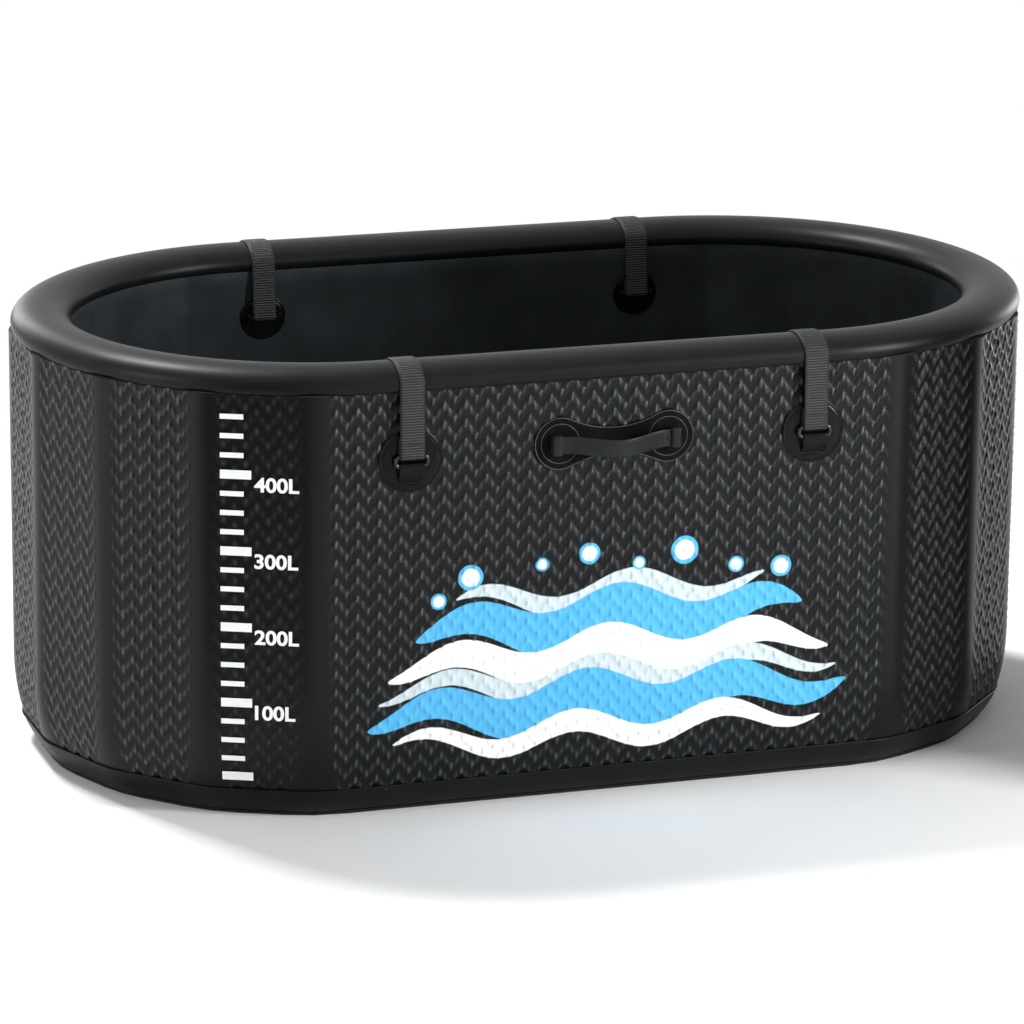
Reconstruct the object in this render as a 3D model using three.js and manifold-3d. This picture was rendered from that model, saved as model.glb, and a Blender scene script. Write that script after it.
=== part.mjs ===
// Oval inflatable cold plunge tub: a drop-stitch wall with a rim rail, straps, carry handles,
// an inflation valve and water fittings. Millimetres, +Z up, the front faces -Y.
// The origin lies on the ground, under the middle of the tub.
import * as THREE from 'three';
import { mergeVertices } from 'three/addons/utils/BufferGeometryUtils.js';
import Module from 'manifold-3d';

// Overall plan and height
const rimRadius = 440; // outside of the rim, around the centre of each round end
const straightHalf = 335; // from the middle of the tub to the centre of a round end
const tubHeight = 670; // ground to the top of the rim
const clearance = 0.3; // between pieces that touch

// Wall: flat panels that meet in rounded folds
const foldProud = 4; // fold lines stand this far outside the rim's outline
const panelOverrun = 110; // the front and back panels run on this far past the straight
const endFacets = 7; // panels around each round end
const foldRadius = 60; // rounding of a fold outside
const footFoldRadius = 260; // the folds round off to this at the ground
const innerFoldRadius = 30; // rounding of a fold inside
const foldSteps = 2;
const wallThickness = 74;
const skinThickness = 1.6;

// Foot of the wall: it curves in towards the ground
const footCurveHeight = 140;
const footCurveDepth = 46;
const footSteps = 7;
const baseRailSteps = 3; // steps of the foot's curve that the smooth base rail covers
const baseRailThickness = 1.6;
const baseSheetThickness = 4;
const floorPadThickness = 45;

// Rim rail: a flattened oval section, cut flat where it sits on the wall
const rimOverhang = 7; // rail beyond the wall on each side
const rimHalfHeight = 27;
const rimDrop = 10; // from the rail's widest line down to its flat underside
const rimSteps = 8;
const rimEndSteps = 20; // steps around each round end

// Webbing straps over the rim, with a ring on a round patch outside and an anchor inside
const strapOffset = 306; // from the middle of the tub
const strapWidth = 37;
const webThickness = 2;
const strapTail = 27; // end of the webbing that is sewn back behind the ring
const wrapSteps = 6; // steps around a bar
const patchDrop = 138; // rim top to the middle of the patch
const patchRadius = 47.5;
const patchThickness = 3;
const patchBevel = 2;
const ringWidth = 48; // between the middles of the ring's sides
const ringHeight = 14; // between the middles of the ring's bars
const ringRodRadius = 3;
const ringCorner = 6;
const tabWidth = 38;
const tabLength = 25; // ring bar to the foot of the tab
const anchorDrop = 110; // rim top to the bar inside
const anchorRadius = 36;
const anchorPostWidth = 6;

// Carry handles
const handleDrop = 130; // rim top to the handle's axis
const handleSpan = 82; // middle of the handle to the middle of each disc
const handleDiscRadius = 39;
const handleWaist = 20; // half height of the patch in the middle
const handlePatchThickness = 2.5;
const gripHeight = 26;
const gripThickness = 3.5;
const gripBow = 22; // how far the grip stands out in the middle
const gripSag = 5; // how far it hangs down in the middle
const gripSteps = 16;
const gripAxisGap = 10; // patch to the axis that the grip swings on
const gripPinRadius = 3.1;
const keeperWidth = 15;
const keeperHeight = 30;
const keeperCover = 6; // keeper above the grip's axis
const keeperCorner = 5;

// Inflation valve in the back panel
const valveX = -180;
const valveZ = 390;
const valveFlangeRadius = 27;
const valveFlangeThickness = 4;
const valveBarrelRadius = 17;
const valveBarrelDepth = 30;
const valveBore = 12;
const valveNutRadius = 24;
const valveNutThickness = 6;
const spiderDepth = 17; // from the wall's face to the spider
const spiderThickness = 3;
const spiderBarWidth = 5;
const stemRadius = 2.5;
const buttonRadius = 6;
const buttonThickness = 4;
const buttonDepth = 3; // the button's face below the wall's face
const plungerTravel = 5;
const sealThickness = 1.7;
const sealOverlap = 3; // seal and disc beyond the bore
const sealDiscThickness = 2.2;
const springTurns = 4;
const springWire = 0.7;
const springRadius = 4.2;
const valveCapRadius = 24;
const valveCapThickness = 5;
const valveCapBevel = 2;
const valvePlugDepth = 5;
const wingLength = 34;
const wingWidth = 8;
const wingHeight = 4.5;
const wingSink = 1; // wing let into the cap

// Water fittings through the back panel
const fittings = [
  { name: 'drain', x: 0, z: 95 },
  { name: 'inlet', x: 180, z: 390 },
  { name: 'outlet', x: 180, z: 200 },
];
const sleeveRadius = 17;
const sleeveBore = 13;
const sleeveInside = 14; // sleeve beyond the inner wall
const sleeveFlangeRadius = 30;
const sleeveFlangeThickness = 5;
const spigotLength = 22;
const gasketThickness = 2;
const gasketDepth = 14; // most that a gasket fills where the wall curves away
const sleeveNutRadius = 28;
const sleeveNutThickness = 9;
const strainerWall = 3;
const strainerSlot = 4;
const strainerSlots = 3;
const capWall = 3.6;
const capLift = 0.6; // cap above the flange

const edgeBevel = 1; // small broken edges of the turned pieces
const roundSides = 20; // sides of turned pieces
const rodSides = 8;
const wireSides = 6;

// Worked out from the sizes above
const foldReach = rimRadius + foldProud;
const foldStart = Math.asin(panelOverrun / foldReach);
const facetTurn = (Math.PI - 2 * foldStart) / endFacets;
const frontReach = foldReach * Math.cos(foldStart);
const facetReach = foldReach * Math.cos(facetTurn / 2);
const rimHalfWidth = wallThickness / 2 + rimOverhang;
const rimMiddle = rimRadius - rimHalfWidth;
const rimCentreZ = tubHeight - rimHalfHeight;
const rimBottom = rimCentreZ - rimDrop;
const wallTop = rimBottom - clearance;
const wallBottom = baseSheetThickness + clearance;
const coreInset = skinThickness + clearance;
const linerInset = wallThickness - skinThickness;
const linerBottom = wallBottom + floorPadThickness + clearance;
const patchTop = patchThickness + clearance;
const wrapRadius = ringRodRadius + clearance + webThickness / 2;
const ringStandOff = patchTop + clearance + webThickness / 2 + wrapRadius;
const handleAxisOut = handlePatchThickness + clearance + gripAxisGap;

const colours = {
  skin: { color: 0x2a2d30, roughness: 0.5 },
  rail: { color: 0x1a1c1e, roughness: 0.45 },
  liner: { color: 0x24272a, roughness: 0.5 },
  core: { color: 0x55595c, roughness: 0.9 },
  foam: { color: 0x3c4043, roughness: 0.9 },
  base: { color: 0x141516, roughness: 0.7 },
  webbing: { color: 0x0e0f10, roughness: 0.85 },
  moulded: { color: 0x1c1e20, roughness: 0.35 },
  ring: { color: 0x111213, roughness: 0.25 },
  handle: { color: 0x101112, roughness: 0.7 },
  grip: { color: 0x2b2e30, roughness: 0.5 },
  fitting: { color: 0x232628, roughness: 0.4 },
  rubber: { color: 0x0c0c0d, roughness: 0.8 },
  steel: { color: 0xb8bcc0, roughness: 0.3, metalness: 1 },
};

const wasm = await Module();
wasm.setup();

// Geometry helpers

function signedVolume(geometry) {
  const points = geometry.attributes.position;
  const index = geometry.index;
  const corners = [new THREE.Vector3(), new THREE.Vector3(), new THREE.Vector3()];
  let volume = 0;
  for (let i = 0; i < index.count; i += 3) {
    corners.forEach((corner, k) => corner.fromBufferAttribute(points, index.getX(i + k)));
    volume += corners[0].dot(corners[1].clone().cross(corners[2])) / 6;
  }
  return volume;
}

// One closed mesh with shared vertices, no flat slivers and its faces pointing out
function closedGeometry(source) {
  const bare = new THREE.BufferGeometry();
  bare.setAttribute('position', source.attributes.position);
  bare.setIndex(source.index);
  const merged = mergeVertices(bare, 1e-4);
  const all = merged.index.array;
  const kept = [];
  for (let i = 0; i < all.length; i += 3) {
    const triangle = [all[i], all[i + 1], all[i + 2]];
    if (new Set(triangle).size === 3) {
      kept.push(...triangle);
    }
  }
  merged.setIndex(kept);
  if (signedVolume(merged) < 0) {
    merged.setIndex(kept.reverse());
  }
  return merged;
}

function solidOf(geometry) {
  const closed = closedGeometry(geometry);
  const vertProperties = new Float32Array(closed.attributes.position.array);
  const triVerts = new Uint32Array(closed.index.array);
  return new wasm.Manifold(new wasm.Mesh({ numProp: 3, vertProperties, triVerts }));
}

function geometryOf(solid) {
  const mesh = solid.getMesh();
  const geometry = new THREE.BufferGeometry();
  geometry.setAttribute('position', new THREE.BufferAttribute(mesh.vertProperties, 3));
  geometry.setIndex(new THREE.BufferAttribute(mesh.triVerts, 1));
  return geometry;
}

function joined(...geometries) {
  return geometryOf(geometries.map(solidOf).reduce((sum, next) => sum.add(next)));
}

function cut(geometry, ...cutters) {
  return geometryOf(cutters.map(solidOf).reduce((rest, cutter) => rest.subtract(cutter), solidOf(geometry)));
}

function piece(name, geometry, look) {
  const mesh = new THREE.Mesh(closedGeometry(geometry), new THREE.MeshStandardMaterial(look));
  mesh.name = name;
  return mesh;
}

// A surface through rings of points. A closed loft joins its last ring to its first;
// an open one is capped at both ends.
function loft(rings, closed) {
  const count = rings[0].length;
  const points = rings.flat();
  const index = [];
  const spans = closed ? rings.length : rings.length - 1;
  for (let r = 0; r < spans; r += 1) {
    const here = r * count;
    const next = ((r + 1) % rings.length) * count;
    for (let i = 0; i < count; i += 1) {
      const j = (i + 1) % count;
      index.push(here + i, here + j, next + j, here + i, next + j, next + i);
    }
  }
  if (!closed) {
    for (const r of [0, rings.length - 1]) {
      const centre = points.length;
      const middle = rings[r].reduce((sum, p) => sum.add(p), new THREE.Vector3());
      points.push(middle.divideScalar(count));
      for (let i = 0; i < count; i += 1) {
        const pair = [r * count + i, r * count + ((i + 1) % count)];
        index.push(centre, ...(r === 0 ? pair.reverse() : pair));
      }
    }
  }
  const geometry = new THREE.BufferGeometry().setFromPoints(points);
  geometry.setIndex(index);
  return geometry;
}

// A shape drawn as (outward, up), swept across X by width and centred on X
function acrossX(shape, width) {
  const geometry = new THREE.ExtrudeGeometry(shape, { depth: width, bevelEnabled: false, curveSegments: 4 });
  geometry.translate(0, 0, -width / 2);
  const turn = new THREE.Matrix4().makeBasis(
    new THREE.Vector3(0, 1, 0),
    new THREE.Vector3(0, 0, 1),
    new THREE.Vector3(1, 0, 0),
  );
  return geometry.applyMatrix4(turn);
}

// A shape drawn as (across, up), raised outwards by depth from the height start
function outwards(shape, start, depth) {
  const geometry = new THREE.ExtrudeGeometry(shape, { depth, bevelEnabled: false, curveSegments: 10 });
  geometry.translate(0, 0, start);
  const turn = new THREE.Matrix4().makeBasis(
    new THREE.Vector3(-1, 0, 0),
    new THREE.Vector3(0, 0, 1),
    new THREE.Vector3(0, 1, 0),
  );
  return geometry.applyMatrix4(turn);
}

// A turned piece around the outward axis, from [radius, outward] pairs
function turned(profile, sides = roundSides) {
  const points = profile.map(([radius, out]) => new THREE.Vector2(radius, out));
  const open = profile[0][0] > 0;
  if (open) {
    points.push(points[0].clone());
  }
  return new THREE.LatheGeometry(points, sides);
}

function box(width, depth, height) {
  return new THREE.BoxGeometry(width, depth, height);
}

// A flat strip of even thickness that follows a line of points
function ribbonShape(points, thickness) {
  const sides = [[], []];
  points.forEach((point, i) => {
    const before = points[Math.max(i - 1, 0)];
    const after = points[Math.min(i + 1, points.length - 1)];
    const first = point.clone().sub(before).normalize();
    const second = after.clone().sub(point).normalize();
    const along = first.clone().add(second).normalize();
    const normal = new THREE.Vector2(-along.y, along.x);
    const bend = first.lengthSq() * second.lengthSq() > 0 ? along.dot(first) : 1;
    const reach = thickness / 2 / bend;
    sides[0].push(point.clone().addScaledVector(normal, reach));
    sides[1].push(point.clone().addScaledVector(normal, -reach));
  });
  return new THREE.Shape([...sides[0], ...sides[1].reverse()]);
}

// Points of an arc around a centre, both angles in radians
function arcPoints(x, y, radius, from, to, steps) {
  const points = [];
  for (let i = 0; i <= steps; i += 1) {
    const angle = from + ((to - from) * i) / steps;
    points.push(new THREE.Vector2(x + radius * Math.cos(angle), y + radius * Math.sin(angle)));
  }
  return points;
}

// Plan outlines of the wall

const panels = [];
for (const end of [1, -1]) {
  const facing = (-end * Math.PI) / 2;
  panels.push({ angle: facing, reach: frontReach, centre: end * straightHalf });
  for (let k = 0; k < endFacets; k += 1) {
    const angle = facing + foldStart + (k + 0.5) * facetTurn;
    panels.push({ angle, reach: facetReach, centre: end * straightHalf });
  }
}

// Where two neighbouring panels meet, with both moved inwards by inset
function foldPoint(first, second, inset) {
  const [c1, s1] = [Math.cos(first.angle), Math.sin(first.angle)];
  const [c2, s2] = [Math.cos(second.angle), Math.sin(second.angle)];
  const d1 = first.centre * c1 + first.reach - inset;
  const d2 = second.centre * c2 + second.reach - inset;
  const scale = c1 * s2 - s1 * c2;
  return new THREE.Vector2((d1 * s2 - d2 * s1) / scale, (c1 * d2 - c2 * d1) / scale);
}

function wallRing(inset, radius, z) {
  const ring = [];
  panels.forEach((panel, i) => {
    const next = panels[(i + 1) % panels.length];
    const centre = foldPoint(panel, next, inset + radius);
    const turn = (next.angle - panel.angle + 2 * Math.PI) % (2 * Math.PI);
    const arc = arcPoints(centre.x, centre.y, radius, panel.angle, panel.angle + turn, foldSteps);
    ring.push(...arc.map((p) => new THREE.Vector3(p.x, p.y, z)));
  });
  return ring;
}

// The outside of the wall at one level, moved inwards by depth
function outerRing(level, depth) {
  return wallRing(level.inset + depth, level.radius - depth, level.z);
}

// The inside of the wall, inset from its outside
function innerRing(inset, z) {
  return wallRing(inset, innerFoldRadius + wallThickness - inset, z);
}

function flatShape(ring) {
  return new THREE.Shape(ring.map((p) => new THREE.Vector2(p.x, p.y)));
}

function slab(ring, bottom, thickness) {
  const geometry = new THREE.ExtrudeGeometry(flatShape(ring), { depth: thickness, bevelEnabled: false });
  return geometry.translate(0, 0, bottom);
}

// Height, inset and fold rounding at each step of the foot's curve, from the ground up
const footAngle = Math.asin((footCurveHeight - wallBottom) / footCurveHeight);
const footLevels = [];
for (let k = 0; k <= footSteps; k += 1) {
  const angle = footAngle * (1 - k / footSteps);
  const curve = 1 - Math.cos(angle);
  footLevels.push({
    z: footCurveHeight * (1 - Math.sin(angle)),
    inset: footCurveDepth * curve,
    radius: foldRadius + (footFoldRadius - foldRadius) * curve,
  });
}
const wallLevels = [...footLevels, { z: wallTop, inset: 0, radius: foldRadius }];

// Shell

function makeWallBlock(depth) {
  return loft(wallLevels.map((level) => outerRing(level, depth)), false);
}

function fittingHoles(radius) {
  return fittings.map(({ x, z }) => {
    const hole = new THREE.CylinderGeometry(radius, radius, 2 * wallThickness, roundSides);
    return hole.translate(x, frontReach - wallThickness / 2, z);
  });
}

function makeOuterSkin() {
  const outside = wallLevels.map((level) => outerRing(level, 0));
  const inside = wallLevels.map((level) => outerRing(level, skinThickness)).reverse();
  const valveHole = turned([
    [0, clearance],
    [valveBarrelRadius + clearance, clearance],
    [valveBarrelRadius + clearance, -coreInset],
    [0, -coreInset],
  ]);
  valveHole.translate(valveX, frontReach, valveZ);
  return cut(loft([...outside, ...inside], true), valveHole, ...fittingHoles(sleeveRadius + clearance));
}

function makeCore() {
  const outside = wallLevels.map((level) => outerRing(level, coreInset));
  const inside = [wallTop, wallBottom].map((z) => innerRing(linerInset - clearance, z));
  const pocketEnd = valveBarrelDepth + sealThickness + sealDiscThickness + plungerTravel + 3 * clearance;
  const nutEnd = coreInset + valveNutThickness + clearance;
  const sealRadius = valveBore + sealOverlap;
  const pocketRadius = Math.max(valveBarrelRadius, sealRadius) + clearance;
  const pocket = turned([
    [0, clearance],
    [valveNutRadius + clearance, clearance],
    [valveNutRadius + clearance, -nutEnd],
    [pocketRadius, -nutEnd],
    [pocketRadius, -pocketEnd],
    [0, -pocketEnd],
  ]);
  pocket.translate(valveX, frontReach, valveZ);
  return cut(loft([...outside, ...inside], true), pocket, ...fittingHoles(sleeveRadius + clearance));
}

function makeLiner() {
  const rings = [
    innerRing(linerInset, linerBottom),
    innerRing(linerInset, wallTop),
    innerRing(wallThickness, wallTop),
    innerRing(wallThickness, linerBottom + skinThickness),
  ];
  return cut(loft(rings, false), ...fittingHoles(sleeveRadius + clearance));
}

function makeBaseRail() {
  const levels = footLevels.slice(0, baseRailSteps + 1);
  const inside = levels.map((level) => outerRing(level, -clearance));
  const outside = levels.map((level) => outerRing(level, -clearance - baseRailThickness));
  return loft([...outside, ...inside.reverse()], true);
}

function makeBaseSheet() {
  return slab(outerRing(footLevels[0], -clearance - baseRailThickness), 0, baseSheetThickness);
}

function makeFloorPad() {
  return slab(innerRing(linerInset, 0), wallBottom, floorPadThickness);
}

// The rim's plan: two round ends joined by straights
function rimRing(out, z) {
  const radius = rimMiddle + out;
  const right = arcPoints(straightHalf, 0, radius, -Math.PI / 2, Math.PI / 2, rimEndSteps);
  const left = arcPoints(-straightHalf, 0, radius, Math.PI / 2, (3 * Math.PI) / 2, rimEndSteps);
  return [...right, ...left].map((p) => new THREE.Vector3(p.x, p.y, z));
}

// Points of the rail's oval section as (outward, up) from the middle of the rail
const rimLowAngle = Math.asin(rimDrop / rimHalfHeight);
function rimSection(grow) {
  const section = [];
  for (let i = 0; i <= rimSteps; i += 1) {
    const angle = -rimLowAngle + ((Math.PI + 2 * rimLowAngle) * i) / rimSteps;
    const out = (rimHalfWidth + grow) * Math.cos(angle);
    section.push(new THREE.Vector2(out, (rimHalfHeight + grow) * Math.sin(angle)));
  }
  return section;
}

function makeRimRail() {
  return loft(rimSection(0).map((p) => rimRing(p.x, rimCentreZ + p.y)), true);
}

// Straps. Each is modelled on the panel's own axes: X across, Y outwards from the wall's face, Z up

const patchZ = tubHeight - patchDrop;
const upperBarZ = patchZ + ringHeight / 2;
const lowerBarZ = patchZ - ringHeight / 2;
const anchorZ = tubHeight - anchorDrop;
const rimMiddleOut = rimMiddle - frontReach;

function makeStrap() {
  const outerEnd = [
    new THREE.Vector2(ringStandOff - wrapRadius, upperBarZ + strapTail),
    ...arcPoints(ringStandOff, upperBarZ, wrapRadius, Math.PI, 2 * Math.PI, wrapSteps),
  ];
  const overRim = rimSection(clearance + webThickness / 2)
    .slice(1, rimSteps)
    .map((p) => new THREE.Vector2(rimMiddleOut + p.x, rimCentreZ + p.y));
  const anchorOut = -wallThickness - ringStandOff;
  const innerEnd = [
    ...arcPoints(anchorOut, anchorZ, wrapRadius, Math.PI, 2 * Math.PI, wrapSteps),
    new THREE.Vector2(anchorOut + wrapRadius, anchorZ + strapTail),
  ];
  return acrossX(ribbonShape([...outerEnd, ...overRim, ...innerEnd], webThickness), strapWidth);
}

function makePatch() {
  const disc = turned([
    [0, clearance],
    [patchRadius, clearance],
    [patchRadius, patchTop - patchBevel],
    [patchRadius - patchBevel, patchTop],
    [0, patchTop],
  ]);
  disc.translate(0, 0, patchZ);
  const buried = patchTop - patchThickness / 2;
  const tabFoot = lowerBarZ - tabLength;
  const tabLine = [
    new THREE.Vector2(buried, tabFoot),
    new THREE.Vector2(ringStandOff + wrapRadius / 2, lowerBarZ - tabLength / 2),
    ...arcPoints(ringStandOff, lowerBarZ, wrapRadius, 0, Math.PI, wrapSteps),
    new THREE.Vector2(ringStandOff - wrapRadius, lowerBarZ - tabLength / 3),
    new THREE.Vector2(buried, lowerBarZ - tabLength / 2),
  ];
  return joined(disc, acrossX(ribbonShape(tabLine, webThickness), tabWidth));
}

function makeRing() {
  const middles = [
    [1, 1, 0],
    [-1, 1, Math.PI / 2],
    [-1, -1, Math.PI],
    [1, -1, (3 * Math.PI) / 2],
  ];
  const steps = 4;
  const rings = [];
  for (const [sideX, sideZ, from] of middles) {
    const x = sideX * (ringWidth / 2 - ringCorner);
    const z = sideZ * (ringHeight / 2 - ringCorner);
    for (let i = 0; i <= steps; i += 1) {
      const angle = from + ((Math.PI / 2) * i) / steps;
      const away = new THREE.Vector3(Math.cos(angle), 0, Math.sin(angle));
      const middle = new THREE.Vector3(x, ringStandOff, patchZ + z).addScaledVector(away, ringCorner);
      rings.push(rodSection(middle, away, ringRodRadius, rodSides));
    }
  }
  return loft(rings, true);
}

// Points around a rod whose section holds the outward axis and the direction away
function rodSection(middle, away, radius, sides) {
  const section = [];
  for (let k = 0; k < sides; k += 1) {
    const angle = (2 * Math.PI * k) / sides;
    const point = middle.clone().addScaledVector(away, radius * Math.cos(angle));
    section.push(point.add(new THREE.Vector3(0, radius * Math.sin(angle), 0)));
  }
  return section;
}

// Inside anchor: a disc on the liner with a fixed bar on two posts
function makeAnchor() {
  const disc = turned([
    [0, clearance],
    [anchorRadius, clearance],
    [anchorRadius, patchTop - patchBevel],
    [anchorRadius - patchBevel, patchTop],
    [0, patchTop],
  ]);
  const bar = new THREE.CylinderGeometry(ringRodRadius, ringRodRadius, ringWidth, rodSides);
  bar.rotateZ(Math.PI / 2).translate(0, ringStandOff, 0);
  const postHeight = ringStandOff + ringRodRadius - patchTop + patchThickness / 2;
  const posts = [-1, 1].map((side) => {
    const post = box(anchorPostWidth, postHeight, 2 * ringRodRadius + anchorPostWidth);
    const out = ringStandOff + ringRodRadius - postHeight / 2;
    return post.translate((side * ringWidth) / 2, out, 0);
  });
  return joined(disc, bar, ...posts).translate(0, 0, anchorZ);
}

// Carry handle

function makeHandlePatch() {
  const hollow = handleSpan ** 2 + handleWaist ** 2 - handleDiscRadius ** 2;
  const arcRadius = hollow / (2 * (handleDiscRadius - handleWaist));
  const arcHeight = handleWaist + arcRadius;
  const lean = Math.atan2(arcHeight, handleSpan);
  const shape = new THREE.Shape();
  shape.absarc(handleSpan, 0, handleDiscRadius, lean - Math.PI, Math.PI - lean, false);
  shape.absarc(0, arcHeight, arcRadius, -lean, lean - Math.PI, true);
  shape.absarc(-handleSpan, 0, handleDiscRadius, lean, -lean, false);
  shape.absarc(0, -arcHeight, arcRadius, Math.PI - lean, lean, true);
  return outwards(shape, clearance, handlePatchThickness);
}

function makeKeeper() {
  const bottom = handlePatchThickness + 2 * clearance;
  const top = handleAxisOut + keeperCover;
  const half = keeperHeight / 2;
  const shape = new THREE.Shape();
  shape.moveTo(bottom, -half);
  shape.lineTo(top - keeperCorner, -half);
  shape.absarc(top - keeperCorner, keeperCorner - half, keeperCorner, -Math.PI / 2, 0, false);
  shape.absarc(top - keeperCorner, half - keeperCorner, keeperCorner, 0, Math.PI / 2, false);
  shape.lineTo(bottom, half);
  const bore = new THREE.Path();
  bore.absarc(handleAxisOut, 0, gripPinRadius + clearance, 0, 2 * Math.PI, true);
  shape.holes.push(bore);
  return acrossX(shape, keeperWidth);
}

function makeGrip() {
  const bowAt = (x) => (1 + Math.cos((Math.PI * x) / handleSpan)) / 2;
  const line = [];
  for (let i = 0; i <= gripSteps; i += 1) {
    const x = handleSpan * ((2 * i) / gripSteps - 1);
    line.push(new THREE.Vector2(x, gripBow * bowAt(x)));
  }
  const strip = new THREE.ExtrudeGeometry(ribbonShape(line, gripThickness), {
    depth: gripHeight,
    bevelEnabled: false,
  });
  strip.translate(0, 0, -gripHeight / 2);
  const points = strip.attributes.position;
  for (let i = 0; i < points.count; i += 1) {
    const x = THREE.MathUtils.clamp(points.getX(i), -handleSpan, handleSpan);
    points.setZ(i, points.getZ(i) - gripSag * bowAt(x));
  }
  const pinLength = keeperWidth - clearance;
  const pins = [-1, 1].map((side) => {
    const pin = new THREE.CylinderGeometry(gripPinRadius, gripPinRadius, pinLength, roundSides / 2);
    return pin.rotateZ(Math.PI / 2).translate(side * (handleSpan + pinLength / 2 - gripThickness), 0, 0);
  });
  return joined(strip, ...pins);
}

function makeHandle(side) {
  const handle = new THREE.Group();
  handle.position.z = tubHeight - handleDrop;
  handle.add(piece(`${side}_handle_patch`, makeHandlePatch(), colours.handle));
  for (const [name, direction] of [['left', -1], ['right', 1]]) {
    const keeper = piece(`${side}_handle_keeper_${name}`, makeKeeper(), colours.moulded);
    keeper.position.x = direction * (handleSpan + clearance + keeperWidth / 2);
    handle.add(keeper);
  }
  const grip = piece(`${side}_handle_grip`, makeGrip(), colours.grip);
  grip.position.y = handleAxisOut;
  handle.add(grip);
  return handle;
}

// Inflation valve. Y runs out of the wall along the valve's axis, from the wall's face

function makeValveBody() {
  const top = clearance + valveFlangeThickness;
  const shell = turned([
    [valveBore, -valveBarrelDepth],
    [valveBarrelRadius, -valveBarrelDepth],
    [valveBarrelRadius, clearance],
    [valveFlangeRadius, clearance],
    [valveFlangeRadius, top - edgeBevel],
    [valveFlangeRadius - edgeBevel, top],
    [valveBore, top],
  ]);
  const barLength = valveBore + valveBarrelRadius;
  const bars = [0, Math.PI / 2].map((angle) => {
    const bar = box(barLength, spiderThickness, spiderBarWidth).rotateY(angle);
    return bar.translate(0, -spiderDepth - spiderThickness / 2, 0);
  });
  const hubRadius = springRadius + 2 * springWire;
  const hub = turned([
    [0, -spiderDepth],
    [hubRadius, -spiderDepth],
    [hubRadius, -spiderDepth - spiderThickness],
    [0, -spiderDepth - spiderThickness],
  ]);
  const stemHole = new THREE.CylinderGeometry(
    stemRadius + clearance,
    stemRadius + clearance,
    2 * valveBarrelDepth,
    roundSides,
  );
  return cut(joined(shell, ...bars, hub), stemHole.translate(0, -spiderDepth, 0));
}

function ringOf(inside, outside, low, high) {
  return turned([[inside, low], [outside, low], [outside, high], [inside, high]]);
}

function makePlunger() {
  const sealLow = -valveBarrelDepth - clearance - sealThickness;
  const discTop = sealLow - clearance;
  const discRadius = valveBore + sealOverlap;
  return turned([
    [0, discTop - sealDiscThickness],
    [discRadius, discTop - sealDiscThickness],
    [discRadius, discTop],
    [stemRadius, discTop],
    [stemRadius, -buttonDepth - buttonThickness],
    [buttonRadius, -buttonDepth - buttonThickness],
    [buttonRadius, -buttonDepth - edgeBevel],
    [buttonRadius - edgeBevel, -buttonDepth],
    [0, -buttonDepth],
  ]);
}

function makeSpring() {
  const low = -spiderDepth + springWire + clearance;
  const high = -buttonDepth - buttonThickness - springWire - clearance;
  const stepsPerTurn = 10;
  const steps = springTurns * stepsPerTurn;
  const rings = [];
  for (let i = 0; i <= steps; i += 1) {
    const angle = (2 * Math.PI * i) / stepsPerTurn;
    const away = new THREE.Vector3(Math.cos(angle), 0, Math.sin(angle));
    const middle = away.clone().multiplyScalar(springRadius);
    middle.y = low + ((high - low) * i) / steps;
    rings.push(rodSection(middle, away, springWire, wireSides));
  }
  return loft(rings, false);
}

function makeValveCap() {
  const low = valveFlangeThickness + 2 * clearance;
  const high = low + valveCapThickness;
  const plugRadius = valveBore - clearance;
  const plugLow = low - valvePlugDepth;
  const lid = turned([
    [0, plugLow],
    [plugRadius, plugLow],
    [plugRadius, low],
    [valveCapRadius, low],
    [valveCapRadius, high - valveCapBevel],
    [valveCapRadius - valveCapBevel, high],
    [0, high],
  ]);
  const wing = box(wingLength, wingHeight + wingSink, wingWidth);
  return joined(lid, wing.translate(0, high + (wingHeight - wingSink) / 2, 0));
}

function makeValve() {
  const valve = new THREE.Group();
  valve.position.set(valveX, 0, valveZ);
  const nutHigh = -coreInset;
  const nut = ringOf(valveBarrelRadius + clearance, valveNutRadius, nutHigh - valveNutThickness, nutHigh);
  const sealHigh = -valveBarrelDepth - clearance;
  const sealInside = stemRadius + 2 * clearance;
  const seal = ringOf(sealInside, valveBore + sealOverlap, sealHigh - sealThickness, sealHigh);
  valve.add(piece('valve_body', makeValveBody(), colours.fitting));
  valve.add(piece('valve_nut', nut, colours.fitting));
  valve.add(piece('valve_seal', seal, colours.rubber));
  valve.add(piece('valve_spring', makeSpring(), colours.steel));
  valve.add(piece('valve_plunger', makePlunger(), colours.fitting));
  valve.add(piece('valve_cap', makeValveCap(), colours.fitting));
  return valve;
}

// Water fittings. Y runs out of the wall along the fitting's axis, from the wall's face

const flangeLow = gasketThickness + 2 * clearance;
const flangeHigh = flangeLow + sleeveFlangeThickness;
const spigotEnd = flangeHigh + spigotLength;
const sleeveEnd = -wallThickness - sleeveInside;

function makeSleeve() {
  return turned([
    [sleeveBore, sleeveEnd],
    [sleeveRadius, sleeveEnd],
    [sleeveRadius, flangeLow],
    [sleeveFlangeRadius, flangeLow],
    [sleeveFlangeRadius, flangeHigh - edgeBevel],
    [sleeveFlangeRadius - edgeBevel, flangeHigh],
    [sleeveRadius, flangeHigh],
    [sleeveRadius, spigotEnd],
    [sleeveBore, spigotEnd],
  ]);
}

// The gasket fills the space between the flange and the wall, also where the wall curves away
function makeGasket(x, z) {
  const high = clearance + gasketThickness;
  const blank = ringOf(sleeveRadius + clearance, sleeveFlangeRadius - edgeBevel, -gasketDepth, high);
  const wall = makeWallBlock(-clearance).translate(-x, -frontReach, -z);
  return cut(blank, wall);
}

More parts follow.
